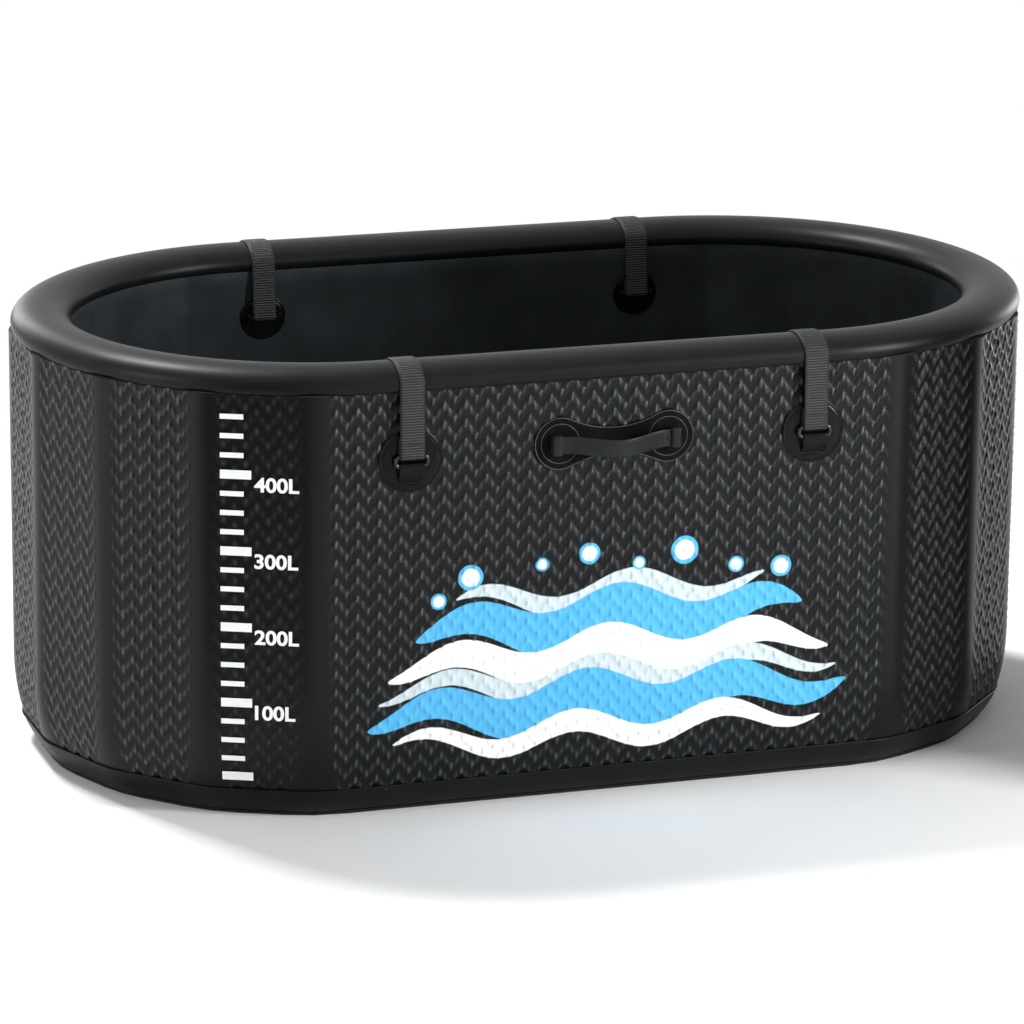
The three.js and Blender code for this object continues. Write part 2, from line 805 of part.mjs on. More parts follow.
function makeStrainer() {
  const inner = sleeveRadius + clearance;
  const outer = inner + strainerWall;
  const plateHigh = sleeveEnd - clearance;
  const skirtHigh = -wallThickness - 2 * clearance - sleeveNutThickness - clearance;
  const cup = turned([
    [0, plateHigh - strainerWall],
    [outer, plateHigh - strainerWall],
    [outer, skirtHigh],
    [inner, skirtHigh],
    [inner, plateHigh],
    [0, plateHigh],
  ]);
  const slots = [];
  for (let k = 0; k < strainerSlots; k += 1) {
    const slot = box(2 * sleeveBore, 4 * strainerWall, strainerSlot);
    const up = 2 * strainerSlot * (k - (strainerSlots - 1) / 2);
    slots.push(slot.translate(0, plateHigh - strainerWall / 2, up));
  }
  return cut(cup, ...slots);
}

function makeCap() {
  const inner = sleeveRadius + clearance;
  const outer = inner + capWall;
  const low = flangeHigh + capLift;
  const inside = spigotEnd + clearance;
  const top = inside + capWall;
  return turned([
    [0, inside],
    [inner, inside],
    [inner, low],
    [outer, low],
    [outer, top - edgeBevel],
    [outer - edgeBevel, top],
    [0, top],
  ]);
}

function makeFitting({ name, x, z }) {
  const fitting = new THREE.Group();
  fitting.position.set(x, 0, z);
  const nutHigh = -wallThickness - clearance;
  const nut = ringOf(sleeveRadius + clearance, sleeveNutRadius, nutHigh - sleeveNutThickness, nutHigh);
  fitting.add(piece(`${name}_sleeve`, makeSleeve(), colours.fitting));
  fitting.add(piece(`${name}_gasket`, makeGasket(x, z), colours.rubber));
  fitting.add(piece(`${name}_nut`, nut, colours.fitting));
  fitting.add(piece(`${name}_strainer`, makeStrainer(), colours.fitting));
  fitting.add(piece(`${name}_cap`, makeCap(), colours.fitting));
  return fitting;
}

// Assembly

const tub = new THREE.Group();
tub.add(piece('base_sheet', makeBaseSheet(), colours.base));
tub.add(piece('floor_pad', makeFloorPad(), colours.foam));
tub.add(piece('drop_stitch_core', makeCore(), colours.core));
tub.add(piece('outer_skin', makeOuterSkin(), colours.skin));
tub.add(piece('inner_liner', makeLiner(), colours.liner));
tub.add(piece('rim_rail', makeRimRail(), colours.rail));
tub.add(piece('base_rail', makeBaseRail(), colours.rail));

// The front panel's axes are the back panel's, turned half round, so its X runs to the left
for (const [side, turn] of [['front', Math.PI], ['back', 0]]) {
  const face = new THREE.Group();
  face.rotation.z = turn;
  const panelOut = new THREE.Group();
  panelOut.position.y = frontReach;
  face.add(panelOut);
  const toRight = side === 'front' ? -1 : 1;
  for (const [place, direction] of [['left', -1], ['right', 1]]) {
    const outside = new THREE.Group();
    outside.position.x = toRight * direction * strapOffset;
    outside.add(piece(`${side}_${place}_strap`, makeStrap(), colours.webbing));
    outside.add(piece(`${side}_${place}_strap_patch`, makePatch(), colours.moulded));
    outside.add(piece(`${side}_${place}_strap_ring`, makeRing(), colours.ring));
    const anchor = piece(`${side}_${place}_strap_anchor`, makeAnchor(), colours.moulded);
    anchor.rotation.z = Math.PI;
    anchor.position.y = -wallThickness;
    outside.add(anchor);
    panelOut.add(outside);
  }
  panelOut.add(makeHandle(side));
  if (side === 'back') {
    panelOut.add(makeValve());
    fittings.forEach((fitting) => panelOut.add(makeFitting(fitting)));
  }
  tub.add(face);
}

export default tub;
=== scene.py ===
import math

import bmesh
import bpy
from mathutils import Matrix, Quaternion, Vector


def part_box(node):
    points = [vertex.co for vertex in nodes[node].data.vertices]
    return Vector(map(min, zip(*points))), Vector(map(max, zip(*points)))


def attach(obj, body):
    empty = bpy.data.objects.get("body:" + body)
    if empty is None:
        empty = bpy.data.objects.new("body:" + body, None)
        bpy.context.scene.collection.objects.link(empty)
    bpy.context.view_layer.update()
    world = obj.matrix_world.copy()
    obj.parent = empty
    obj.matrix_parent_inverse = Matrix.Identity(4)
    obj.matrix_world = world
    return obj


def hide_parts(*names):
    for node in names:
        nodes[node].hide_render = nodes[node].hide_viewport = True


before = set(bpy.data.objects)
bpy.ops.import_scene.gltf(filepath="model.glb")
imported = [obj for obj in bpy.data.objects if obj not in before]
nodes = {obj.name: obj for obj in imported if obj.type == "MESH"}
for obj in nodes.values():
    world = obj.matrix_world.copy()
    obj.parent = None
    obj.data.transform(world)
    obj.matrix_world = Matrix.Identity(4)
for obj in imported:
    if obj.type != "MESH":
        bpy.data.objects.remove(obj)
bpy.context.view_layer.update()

mm = 0.001
print("frame loaded,", len(nodes), "nodes")


# sockets as plain values, for shaders and for geometry trees

class Plug:
    def __init__(self, tree, socket=None):
        self.tree = tree
        self.socket = socket

    def feed(self, inlet, value):
        if isinstance(value, Plug):
            self.tree.links.new(value.socket, inlet)
        else:
            inlet.default_value = value

    def node(self, kind, settings=None, values=None, out=0):
        made = self.tree.nodes.new(kind)
        for key, value in (settings or {}).items():
            setattr(made, key, value)
        for key, value in (values or {}).items():
            self.feed(made.inputs[key], value)
        return Plug(self.tree, made.outputs[out])

    def calc(self, operation, first, second=None):
        values = {0: first} if second is None else {0: first, 1: second}
        return self.node("ShaderNodeMath", {"operation": operation}, values)

    def __add__(self, other):
        return self.calc("ADD", self, other)

    def __radd__(self, other):
        return self.calc("ADD", other, self)

    def __sub__(self, other):
        return self.calc("SUBTRACT", self, other)

    def __rsub__(self, other):
        return self.calc("SUBTRACT", other, self)

    def __mul__(self, other):
        return self.calc("MULTIPLY", self, other)

    def __truediv__(self, other):
        return self.calc("DIVIDE", self, other)

    def __pow__(self, other):
        return self.calc("POWER", self, other)

    def __lt__(self, other):
        return self.calc("LESS_THAN", self, other)

    def __abs__(self):
        return self.calc("ABSOLUTE", self)

    def sine(self):
        return self.calc("SINE", self)

    def cosine(self):
        return self.calc("COSINE", self)

    def fraction(self):
        return self.calc("FRACT", self)

    def root(self):
        return self.calc("SQRT", self)

    def atLeast(self, other):
        return self.calc("MAXIMUM", self, other)

    def step(self, low, high):
        spread = {"Value": self, "From Min": low, "From Max": high}
        return self.node("ShaderNodeMapRange", {"interpolation_type": "SMOOTHSTEP"}, spread)

    def noise(self, where, scale, detail=2.0):
        return self.node("ShaderNodeTexNoise", None, {"Vector": where, "Scale": scale, "Detail": detail})

    def mix(self, share, first, second):
        return self.node("ShaderNodeMix", {"data_type": "RGBA"}, {0: share, 6: first, 7: second}, 2)


def ink(code):                         # colour code as on a paint chart, to linear light
    shares = [int(code[k:k + 2], 16) / 255 for k in (0, 2, 4)]
    return (*[c / 12.92 if c <= 0.04045 else ((c + 0.055) / 1.055) ** 2.4 for c in shares], 1.0)


# camera, at the photograph's angle

camera = {
    "target": (0.0, 0.0, 0.33),
    "azimuth": -18.26,                 # degrees, to the left of the front
    "elevation": 15.5,
    "roll": 0.585,
    "distance": 8.0,
    "focalPixels": 5255.0,
    "imagePixels": 1024.0,
    "sensor": 36.0,
    "pixelsRight": 7.4,                # the middle of the view lies this far off the image's middle
    "pixelsDown": -8.8,
}


def around(azimuth, elevation):        # unit vector from the tub, azimuth 0 in front and 90 to the right
    a = math.radians(azimuth)
    e = math.radians(elevation)
    return Vector((math.sin(a) * math.cos(e), -math.cos(a) * math.cos(e), math.sin(e)))


def makeCamera():
    data = bpy.data.cameras.new("camera")
    data.sensor_width = camera["sensor"]
    data.lens = camera["focalPixels"] * camera["sensor"] / camera["imagePixels"]
    data.shift_x = -camera["pixelsRight"] / camera["imagePixels"]
    data.shift_y = camera["pixelsDown"] / camera["imagePixels"]
    back = around(camera["azimuth"], camera["elevation"])
    made = bpy.data.objects.new("camera", data)
    made.location = Vector(camera["target"]) + back * camera["distance"]
    made.rotation_mode = "QUATERNION"
    roll = Quaternion((0.0, 0.0, 1.0), math.radians(camera["roll"]))
    made.rotation_quaternion = (-back).to_track_quat("-Z", "Y") @ roll
    bpy.context.scene.collection.objects.link(made)
    bpy.context.scene.camera = made


makeCamera()
print("camera set")


# finishes

def startFinish(name, fixed):
    finish = bpy.data.materials.new(name)
    finish.use_nodes = True
    shader = finish.node_tree.nodes["Principled BSDF"]
    for label, value in fixed.items():
        shader.inputs[label].default_value = value
    return finish, Plug(finish.node_tree), shader


def objectPlace(plug):
    return plug.node("ShaderNodeTexCoord", out="Object")


def field(plug, label):
    return plug.node("ShaderNodeAttribute", {"attribute_name": label}, out="Fac")


def bump(plug, shader, height, distance):
    normal = plug.node("ShaderNodeBump", None, {"Height": height, "Distance": distance, "Strength": 1.0})
    plug.feed(shader.inputs["Normal"], normal)


# plain moulded or coated surfaces: two close tones, uneven gloss and a fine grain
clouds = {"scale": 14.0, "detail": 3.0, "share": 0.6, "tone": (0.32, 0.68)}
surfaces = {
    "smoothRail": {"dark": "0c0d0e", "light": "131516", "rough": (0.36, 0.46), "grain": 420, "depth": 0.05,
                   "specular": 0.14},
    "linerVinyl": {"dark": "2e3234", "light": "3b4043", "rough": (0.4, 0.55), "grain": 320, "depth": 0.08,
                   "specular": 0.25},
    "baseRubber": {"dark": "0d0e0f", "light": "18191a", "rough": (0.6, 0.8), "grain": 240, "depth": 0.2,
                   "specular": 0.25},
    "mouldedPatch": {"dark": "08090a", "light": "0f1111", "rough": (0.18, 0.3), "grain": 260, "depth": 0.06,
                     "specular": 0.11},
    "ringPlastic": {"dark": "0a0a0b", "light": "121313", "rough": (0.12, 0.22), "grain": 500, "depth": 0.02,
                    "specular": 0.5},
    "handleRubber": {"dark": "050505", "light": "131414", "rough": (0.5, 0.7), "grain": 700, "depth": 0.25,
                     "specular": 0.05},
    "weldLine": {"dark": "3a3c3e", "light": "55585a", "rough": (0.3, 0.5), "grain": 400, "depth": 0.05,
                 "specular": 0.4},
    "gripRubber": {"dark": "191b1c", "light": "242728", "rough": (0.3, 0.42), "grain": 380, "depth": 0.08,
                   "specular": 0.15},
    "fittingPlastic": {"dark": "16181a", "light": "222527", "rough": (0.3, 0.45), "grain": 300, "depth": 0.05,
                       "specular": 0.4},
    "gasketRubber": {"dark": "080808", "light": "101111", "rough": (0.7, 0.85), "grain": 260, "depth": 0.1,
                     "specular": 0.25},
    "padFoam": {"dark": "34383b", "light": "464a4e", "rough": (0.85, 0.95), "grain": 160, "depth": 0.6,
                "specular": 0.2},
    "stitchCore": {"dark": "4c5053", "light": "5e6266", "rough": (0.85, 0.95), "grain": 220, "depth": 0.5,
                   "specular": 0.2},
    "scaleInk": {"dark": "f1f3f4", "light": "fbfcfc", "rough": (0.4, 0.5), "grain": 300, "depth": 0.03,
                 "specular": 0.3},
    "stitchThread": {"dark": "17181a", "light": "2b2d2f", "rough": (0.6, 0.75), "grain": 900, "depth": 0.2,
                     "specular": 0.3},
}


def plainFinish(name, look, metallic=0.0):
    finish, plug, shader = startFinish(name, {"Specular IOR Level": look["specular"], "Metallic": metallic})
    place = objectPlace(plug)
    cloud = plug.noise(place, clouds["scale"], clouds["detail"])
    grain = plug.noise(place, look["grain"])
    tone = (cloud * clouds["share"] + grain * (1 - clouds["share"])).step(*clouds["tone"])
    low, high = look["rough"]
    plug.feed(shader.inputs["Base Color"], plug.mix(tone, ink(look["dark"]), ink(look["light"])))
    plug.feed(shader.inputs["Roughness"], low + cloud * (high - low))
    bump(plug, shader, grain, look["depth"] * mm)
    return finish


finishes = {name: plainFinish(name, look) for name, look in surfaces.items()}
steelLook = {"dark": "9a9ea1", "light": "c4c8ca", "rough": (0.22, 0.36), "grain": 800, "depth": 0.03,
             "specular": 0.5}
finishes["springSteel"] = plainFinish("springSteel", steelLook, 1.0)


# the print on the front panel: ribbons of water with bubbles, in blues and white
printArt = {
    "edge": 1.0 * mm,                  # softness of the printed edges
    "waveLength": 228 * mm,
    "waveHeight": 17 * mm,
    "ribbons": [                       # middle height, thickness, half length, shift, colour
        (0.312, 0.034, 0.236, 0.10, "cbdadf"),
        (0.272, 0.072, 0.296, 0.18, "55b4e8"),
        (0.220, 0.058, 0.338, 0.26, "fbfcfd"),
        (0.186, 0.036, 0.352, 0.32, "cbdadf"),
        (0.148, 0.070, 0.368, 0.40, "55b4e8"),
        (0.104, 0.036, 0.330, 0.48, "fbfcfd"),
    ],
    "bubbles": [                       # across, height, radius
        (-0.262, 0.318, 0.012),
        (-0.214, 0.350, 0.019),
        (-0.106, 0.361, 0.010),
        (-0.034, 0.372, 0.016),
        (0.042, 0.352, 0.010),
        (0.112, 0.366, 0.021),
        (0.192, 0.338, 0.012),
        (0.262, 0.330, 0.016),
    ],
    "bubbleRim": 0.72,                 # share of the radius inside the rim line
    "rimColour": "55b4e8",
    "fillColour": "e4edf1",
}


def printLayers(plug, place, colour):
    split = "ShaderNodeSeparateXYZ"
    x = plug.node(split, None, {0: place}, 0)
    z = plug.node(split, None, {0: place}, 2)
    soft = printArt["edge"]
    for height, thick, length, shift, code in printArt["ribbons"]:
        share = x / length
        taper = (1.0 - share * share).atLeast(0.0) ** 0.6
        wave = (x * (math.tau / printArt["waveLength"]) + shift * math.tau).sine() * printArt["waveHeight"]
        reach = abs(z - wave - height)
        inside = (taper * (thick / 2) - reach).step(-soft, soft) * (abs(share) < 1.0)
        colour = plug.mix(inside, colour, ink(code))
    for across, height, radius in printArt["bubbles"]:
        sideways = x - across
        upwards = z - height
        reach = (sideways * sideways + upwards * upwards).root()
        for share, code in ((1.0, printArt["rimColour"]), (printArt["bubbleRim"], printArt["fillColour"])):
            inside = (radius * share - reach).step(-soft, soft)
            colour = plug.mix(inside, colour, ink(code))
    return colour


skin = {
    # valley and crest colours: the valleys are painted darker as painted shade, the crests lighter as painted
    # highlight
    "valley": "0a0b0c",
    "crest": "3a4043",
    "rough": (0.3, 0.42),
    "knob": 8.0 * mm,                  # distance across between the small bumps on a rib
    "knobBroad": 0.6,                  # power that broadens the bumps
    "knobDepth": 1.1 * mm,
    "knobBump": 0.75,                  # their share of the bump map
    "speckBump": (0.12, 0.5),          # share of the grain in a valley, and what a crest adds to it
    "speck": 260.0,                    # scale of the finest grain
    "speckTone": 0.25,
    "ribPaintedLight": (0.25, 0.5),            # painted highlight of a rib, and what a bump adds to it
    "tone": (0.1, 0.9),                # from painted shade in a valley to painted highlight on a crest
    "cloud": 5.0,                      # scale of the uneven gloss
    "cloudGloss": 0.4,                 # its share; the rest follows the relief
    "specular": 0.18,
    "polish": 1.0,                     # the crests are worn smoother than the valleys
    "knobPolish": 0.6,                 # share of the polish that only the bumps have
    "polishRough": 0.34,
}


def skinFinish(name, withPrint):
    finish, plug, shader = startFinish(name, {"Specular IOR Level": skin["specular"],
                                              "Coat Roughness": skin["polishRough"]})
    place = objectPlace(plug)
    relief = field(plug, "relief")
    across = field(plug, "across")
    speck = plug.noise(place, skin["speck"])
    cloud = plug.noise(place, skin["cloud"])
    knobs = ((across * (math.tau / skin["knob"])).cosine() * 0.5 + 0.5) ** skin["knobBroad"]
    speckLow, speckMore = skin["speckBump"]
    bumps = relief * knobs * skin["knobBump"] + speck * (relief * speckMore + speckLow)
    ribPaintedLight, knobPaintedLight = skin["ribPaintedLight"]
    # the crests and their bumps are painted lighter, a painted highlight, and the valleys darker, a painted
    # shade
    tone = (relief * (ribPaintedLight + knobs * knobPaintedLight) + speck * skin["speckTone"]).step(*skin["tone"])
    colour = plug.mix(tone, ink(skin["valley"]), ink(skin["crest"]))
    if withPrint:
        colour = printLayers(plug, place, colour)
    low, high = skin["rough"]
    gloss = skin["cloudGloss"]
    rough = high - relief * (high - low) * (1 - gloss) - cloud * (high - low) * gloss
    ribPolish = 1 - skin["knobPolish"]
    polish = relief * relief * (ribPolish + knobs * skin["knobPolish"]) * skin["polish"]
    plug.feed(shader.inputs["Base Color"], colour)
    plug.feed(shader.inputs["Roughness"], rough)
    plug.feed(shader.inputs["Coat Weight"], polish)
    bump(plug, shader, bumps, skin["knobDepth"])
    return finish


finishes["embossedSkin"] = skinFinish("embossedSkin", False)
finishes["printedSkin"] = skinFinish("printedSkin", True)


webbingLook = {
    "dark": "020202",
    "light": "24282a",
    "thread": 1.1 * mm,
    "fuzz": 900.0,                     # scale of the fibres
    # painted highlight on the rib crests, painted shade between the ribs
    "ribPaintedLight": 0.75,
    "warpTone": 0.15,
    "fuzzTone": 0.2,
    "tone": (0.4, 0.95),
    "rough": 0.58,
    "ribGloss": 0.24,                  # how much smoother the crests of the ribs are
    "warpBump": 0.6,                   # share of the bump map; the rest is fuzz
    "bumpDepth": 0.22 * mm,
    "specular": 0.36,
}


def webbingFinish():
    finish, plug, shader = startFinish("strapWebbing", {"Specular IOR Level": webbingLook["specular"]})
    place = objectPlace(plug)
    across = plug.node("ShaderNodeSeparateXYZ", None, {0: place}, 0)
    crest = field(plug, "ribs")
    warp = (across * (math.tau / webbingLook["thread"])).cosine() * 0.5 + 0.5
    fuzz = plug.noise(place, webbingLook["fuzz"])
    # the rib crests are painted lighter, a painted highlight, and the hollows between them darker, a painted
    # shade
    mixed = crest * webbingLook["ribPaintedLight"] + warp * webbingLook["warpTone"] + fuzz * webbingLook["fuzzTone"]
    tone = mixed.step(*webbingLook["tone"])
    colour = plug.mix(tone, ink(webbingLook["dark"]), ink(webbingLook["light"]))
    plug.feed(shader.inputs["Base Color"], colour)
    plug.feed(shader.inputs["Roughness"], webbingLook["rough"] - crest * webbingLook["ribGloss"])
    warpBump = webbingLook["warpBump"]
    bump(plug, shader, warp * warpBump + fuzz * (1 - warpBump), webbingLook["bumpDepth"])
    return finish


finishes["strapWebbing"] = webbingFinish()
print("finishes made,", len(finishes))


# mesh helpers

def angles(count):
    return [math.tau * k / count for k in range(count)]


def loft(rings, loop, tube=True):      # loop joins the last ring to the first, tube closes each ring
    count = len(rings[0])
    points = [Vector(p) for row in rings for p in row]
    faces = []
    for r in range(len(rings) if loop else len(rings) - 1):
        here = r * count
        there = (r + 1) % len(rings) * count
        for i in range(count if tube else count - 1):
            j = (i + 1) % count
            faces.append((here + i, here + j, there + j, there + i))
    if tube and not loop:
        last = (len(rings) - 1) * count
        faces.append(tuple(range(count)))
        faces.append(tuple(range(last, last + count)))
    return points, faces


def together(*shapes):                 # several shapes as one list of points and faces
    points, faces = [], []
    for somePoints, someFaces in shapes:
        first = len(points)
        points += somePoints
        faces += [tuple(first + i for i in face) for face in someFaces]
    return points, faces


def turned(profile, sides=72):         # (radius, outward) pairs, turned around the outward axis
    rings = [[(r * math.cos(a), out, r * math.sin(a)) for r, out in profile] for a in angles(sides)]
    return loft(rings, True, profile[0][0] > 0)


def moved(shape, place):
    return [place(p) for p in shape[0]], shape[1]


def makePiece(name, shape, finish, crease=35.0, fields=None):
    points, faces = shape
    mesh = bpy.data.meshes.new(name)
    mesh.from_pydata(points, [], faces)
    work = bmesh.new()
    work.from_mesh(mesh)
    if fields is None:
        bmesh.ops.remove_doubles(work, verts=work.verts, dist=0.005 * mm)
    bmesh.ops.recalc_face_normals(work, faces=work.faces)
    work.to_mesh(mesh)
    work.free()
    mesh.shade_smooth()
    mesh.set_sharp_from_angle(angle=math.radians(crease))
    for label, values in (fields or {}).items():
        mesh.attributes.new(label, "FLOAT", "POINT").data.foreach_set("value", values)
    mesh.materials.append(finishes[finish])
    piece = bpy.data.objects.new(name, mesh)
    bpy.context.scene.collection.objects.link(piece)
    return piece


def mount(piece, body, node):    # the piece rides on its body and stands in for a CAD node
    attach(piece, body)
    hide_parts(node)


def arc(middle, radius, start, end, steps):
    points = []
    for k in range(steps + 1):
        a = start + (end - start) * k / steps
        points.append(Vector((middle[0] + radius * math.cos(a), middle[1] + radius * math.sin(a))))
    return points


def evenly(points, step):              # the same line with points at even distances
    lengths = [0.0]
    for before, after in zip(points, points[1:]):
        lengths.append(lengths[-1] + (after - before).length)
    count = max(2, round(lengths[-1] / step))
    made = []
    k = 0
    for i in range(count + 1):
        want = lengths[-1] * i / count
        while k < len(points) - 2 and lengths[k + 1] < want:
            k += 1
        share = (want - lengths[k]) / (lengths[k + 1] - lengths[k])
        made.append(points[k].lerp(points[k + 1], share))
    return made, lengths[-1] / count


def stripSection(width, thickness, steps, edgeSteps=4):
    half = thickness / 2
    flat = width / 2 - half
    section = [(-flat + 2 * flat * k / steps, half) for k in range(steps + 1)]
    for k in range(1, edgeSteps):
        a = math.pi / 2 - math.pi * k / edgeSteps
        section.append((flat + half * math.cos(a), half * math.sin(a)))
    section += [(flat - 2 * flat * k / steps, -half) for k in range(steps + 1)]
    for k in range(1, edgeSteps):
        a = -math.pi / 2 - math.pi * k / edgeSteps
        section.append((-flat + half * math.cos(a), half * math.sin(a)))
    return section


def strip(line, section):              # rings of (across, out, up) along a line of (out, up)
    rings = []
    for i, point in enumerate(line):
        along = line[min(i + 1, len(line) - 1)] - line[max(i - 1, 0)]
        along.normalize()
        side = Vector((-along.y, along.x))
        row = []
        for across, lift in section:
            at = point + side * lift
            row.append((across, at.x, at.y))
        rings.append(row)
    return rings


# geometry trees

def startTree(name, inputs):
    tree = bpy.data.node_groups.new(name, "GeometryNodeTree")
    tree.interface.new_socket("Geometry", in_out="OUTPUT", socket_type="NodeSocketGeometry")
    tree.interface.new_socket("Geometry", in_out="INPUT", socket_type="NodeSocketGeometry")
    for label, kind in inputs.items():
        tree.interface.new_socket(label, in_out="INPUT", socket_type="NodeSocket" + kind)
    tree.interface.new_socket("Finish", in_out="INPUT", socket_type="NodeSocketMaterial")
    entry = tree.nodes.new("NodeGroupInput")
    given = {outlet.name: Plug(tree, outlet) for outlet in entry.outputs if outlet.name}
    return tree, Plug(tree), given


def endTree(tree, plug, geometry, given):
    real = plug.node("GeometryNodeRealizeInstances", None, {"Geometry": geometry})
    dressed = plug.node("GeometryNodeSetMaterial", None, {"Geometry": real, "Material": given["Finish"]})
    outlet = tree.nodes.new("NodeGroupOutput")
    plug.feed(outlet.inputs["Geometry"], dressed)
    return tree


def grow(piece, tree, values, finish):  # runs a tree on a piece and keeps the plain mesh
    modifier = piece.modifiers.new(tree.name, "NODES")
    modifier.node_group = tree
    for item in tree.interface.items_tree:
        if item.in_out == "INPUT" and item.name in values:
            modifier[item.identifier] = values[item.name]
        elif item.in_out == "INPUT" and item.name == "Finish":
            modifier[item.identifier] = finishes[finish]
    bpy.context.view_layer.update()
    graph = bpy.context.evaluated_depsgraph_get()
    grown = piece.evaluated_get(graph)
    mesh = bpy.data.meshes.new_from_object(grown, preserve_all_data_layers=True, depsgraph=graph)
    piece.modifiers.clear()
    old = piece.data
    piece.data = mesh
    bpy.data.meshes.remove(old)
    mesh.name = piece.name


def readField(plug, label):
    return plug.node("GeometryNodeInputNamedAttribute", {"data_type": "FLOAT"}, {"Name": label}, "Attribute")


def raised(plug, geometry, lift):      # moves the surface along its normals
    normal = plug.node("GeometryNodeInputNormal")
    offset = plug.node("ShaderNodeVectorMath", {"operation": "SCALE"}, {0: normal, "Scale": lift})
    return plug.node("GeometryNodeSetPosition", None, {"Geometry": geometry, "Offset": offset})


def stored(plug, geometry, label, value):
    kept = {"Geometry": geometry, "Name": label, "Value": value}
    return plug.node("GeometryNodeStoreNamedAttribute", {"data_type": "FLOAT", "domain": "POINT"}, kept)


ribShape = {
    "sharp": 2.3,                      # power that narrows the crest of a rib
    "corner": 0.4,                     # share of the height that only the corners of the zigzag have
    "knob": 0.24,                      # half the share of the height that the knobs take
    "unevenScale": 70.0,
    "uneven": 0.7,
    "unevenLeast": 0.65,
    "swellScale": 7.0,
    "plainEdge": 1.5 * mm,             # smooth margin beside a fold
}


def herringboneTree():                 # zigzag rows of short raised ribs, fading out towards the folds
    labels = ("Column", "Row", "Rise", "Knob", "Depth", "Sink", "Fade", "Swell")
    tree, plug, given = startTree("herringbone", {label: "Float" for label in labels})
    across = readField(plug, "across")
    up = readField(plug, "up")
    gap = readField(plug, "gap")
    columns = across / given["Column"]
    zigzag = abs(columns.fraction() * 2.0 - 1.0)
    leg = abs((columns * 2.0).fraction() * 2.0 - 1.0)
    rows = up / given["Row"] - zigzag * given["Rise"]
    ridge = (rows * math.tau).cosine() * 0.5 + 0.5
    crown = leg ** 2.0 * ribShape["corner"] + (1 - ribShape["corner"])
    knobs = (across * math.tau / given["Knob"]).cosine() * ribShape["knob"] + (1 - ribShape["knob"])
    place = plug.node("GeometryNodeInputPosition")
    uneven = plug.noise(place, ribShape["unevenScale"], 1.0) * ribShape["uneven"] + ribShape["unevenLeast"]
    mask = gap.step(ribShape["plainEdge"], given["Fade"])
    relief = ridge ** ribShape["sharp"] * crown * knobs * uneven * mask * readField(plug, "press")
    swell = (plug.noise(place, ribShape["swellScale"], 1.0) - 0.5) * given["Swell"]
    lift = relief * given["Depth"] + (swell - given["Sink"]) * mask
    geometry = stored(plug, raised(plug, given["Geometry"], lift), "relief", relief)
    return endTree(tree, plug, geometry, given)


def ribTree():                         # even ribs across a strip
    tree, plug, given = startTree("ribs", {"Pitch": "Float", "Depth": "Float"})
    along = readField(plug, "along")
    face = readField(plug, "face")
    wave = ((along * math.tau / given["Pitch"]).cosine() * 0.5 + 0.5) * face
    geometry = stored(plug, raised(plug, given["Geometry"], wave * given["Depth"]), "ribs", wave)
    return endTree(tree, plug, geometry, given)


def stitchTree():                      # one thread stitch on every point, laid along X
    tree, plug, given = startTree("stitches", {"Length": "Float", "Thread": "Float"})
    bead = plug.node("GeometryNodeMeshUVSphere", None, {"Segments": 8, "Rings": 6, "Radius": 0.5})
    lengths = {0: given["Length"], 1: given["Thread"], 2: given["Thread"]}
    size = plug.node("ShaderNodeCombineXYZ", None, lengths)
    laid = {"Points": given["Geometry"], "Instance": bead, "Scale": size}
    return endTree(tree, plug, plug.node("GeometryNodeInstanceOnPoints", None, laid), given)


def knurlTree():                       # round ribs along the outside of a turned piece, axis along Y
    labels = {"Ribs": "Int", "Radius": "Float", "Rib": "Float", "Length": "Float", "Middle": "Vector"}
    tree, plug, given = startTree("knurl", labels)
    circle = plug.node("GeometryNodeMeshCircle", None, {"Vertices": given["Ribs"], "Radius": given["Radius"]})
    rib = plug.node(
        "GeometryNodeMeshCylinder",
        None,
        {"Vertices": 10, "Side Segments": 1, "Radius": given["Rib"], "Depth": given["Length"]},
    )
    crown = plug.node("GeometryNodeInstanceOnPoints", None, {"Points": circle, "Instance": rib})
    upright = {"Geometry": crown, "Rotation": (math.pi / 2, 0.0, 0.0), "Translation": given["Middle"]}
    placed = plug.node("GeometryNodeTransform", None, upright)
    join = tree.nodes.new("GeometryNodeJoinGeometry")
    plug.feed(join.inputs[0], given["Geometry"])
    plug.feed(join.inputs[0], placed)
    return endTree(tree, plug, Plug(tree, join.outputs[0]), given)


herringbone = herringboneTree()
ribs = ribTree()
stitches = stitchTree()
knurl = knurlTree()
print("geometry trees built")


# wall: flat panels that meet in rounded folds

wall = {
    "rimRadius": 440 * mm,
    "straightHalf": 335 * mm,
    "foldProud": 4 * mm,
    "panelOverrun": 110 * mm,
    "endFacets": 7,
    "foldRadius": 60 * mm,
    "footFoldRadius": 260 * mm,
    "innerFoldRadius": 30 * mm,
    "thickness": 74 * mm,
    "skin": 1.6 * mm,
    "footHeight": 140 * mm,
    "footDepth": 46 * mm,
    "foldSteps": 10,
    "footSteps": 60,
    "backSkip": 12,                    # rows of the outside for each row of the plain back
    "frontPitch": 2.45 * mm,           # mesh spacing
    "endPitch": 2.75 * mm,
    "scalePress": 0.5,                 # share of the emboss on the facet that carries the scale
    "skirt": 6 * mm,                   # how far the embossed skin runs down behind the base rail
}
emboss = {
    "Column": 32 * mm,
    "Row": 27.5 * mm,
    "Rise": 0.76,
    "Knob": 8 * mm,
    "Depth": 3.1 * mm,
    "Sink": 1.0 * mm,
    "Fade": 15 * mm,
    "Swell": 1.0 * mm,
}
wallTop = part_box("outer_skin")[1].z
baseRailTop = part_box("base_rail")[1].z
foldReach = wall["rimRadius"] + wall["foldProud"]
foldStart = math.asin(wall["panelOverrun"] / foldReach)
facetTurn = (math.pi - 2 * foldStart) / wall["endFacets"]
frontReach = foldReach * math.cos(foldStart)
facetReach = foldReach * math.cos(facetTurn / 2)

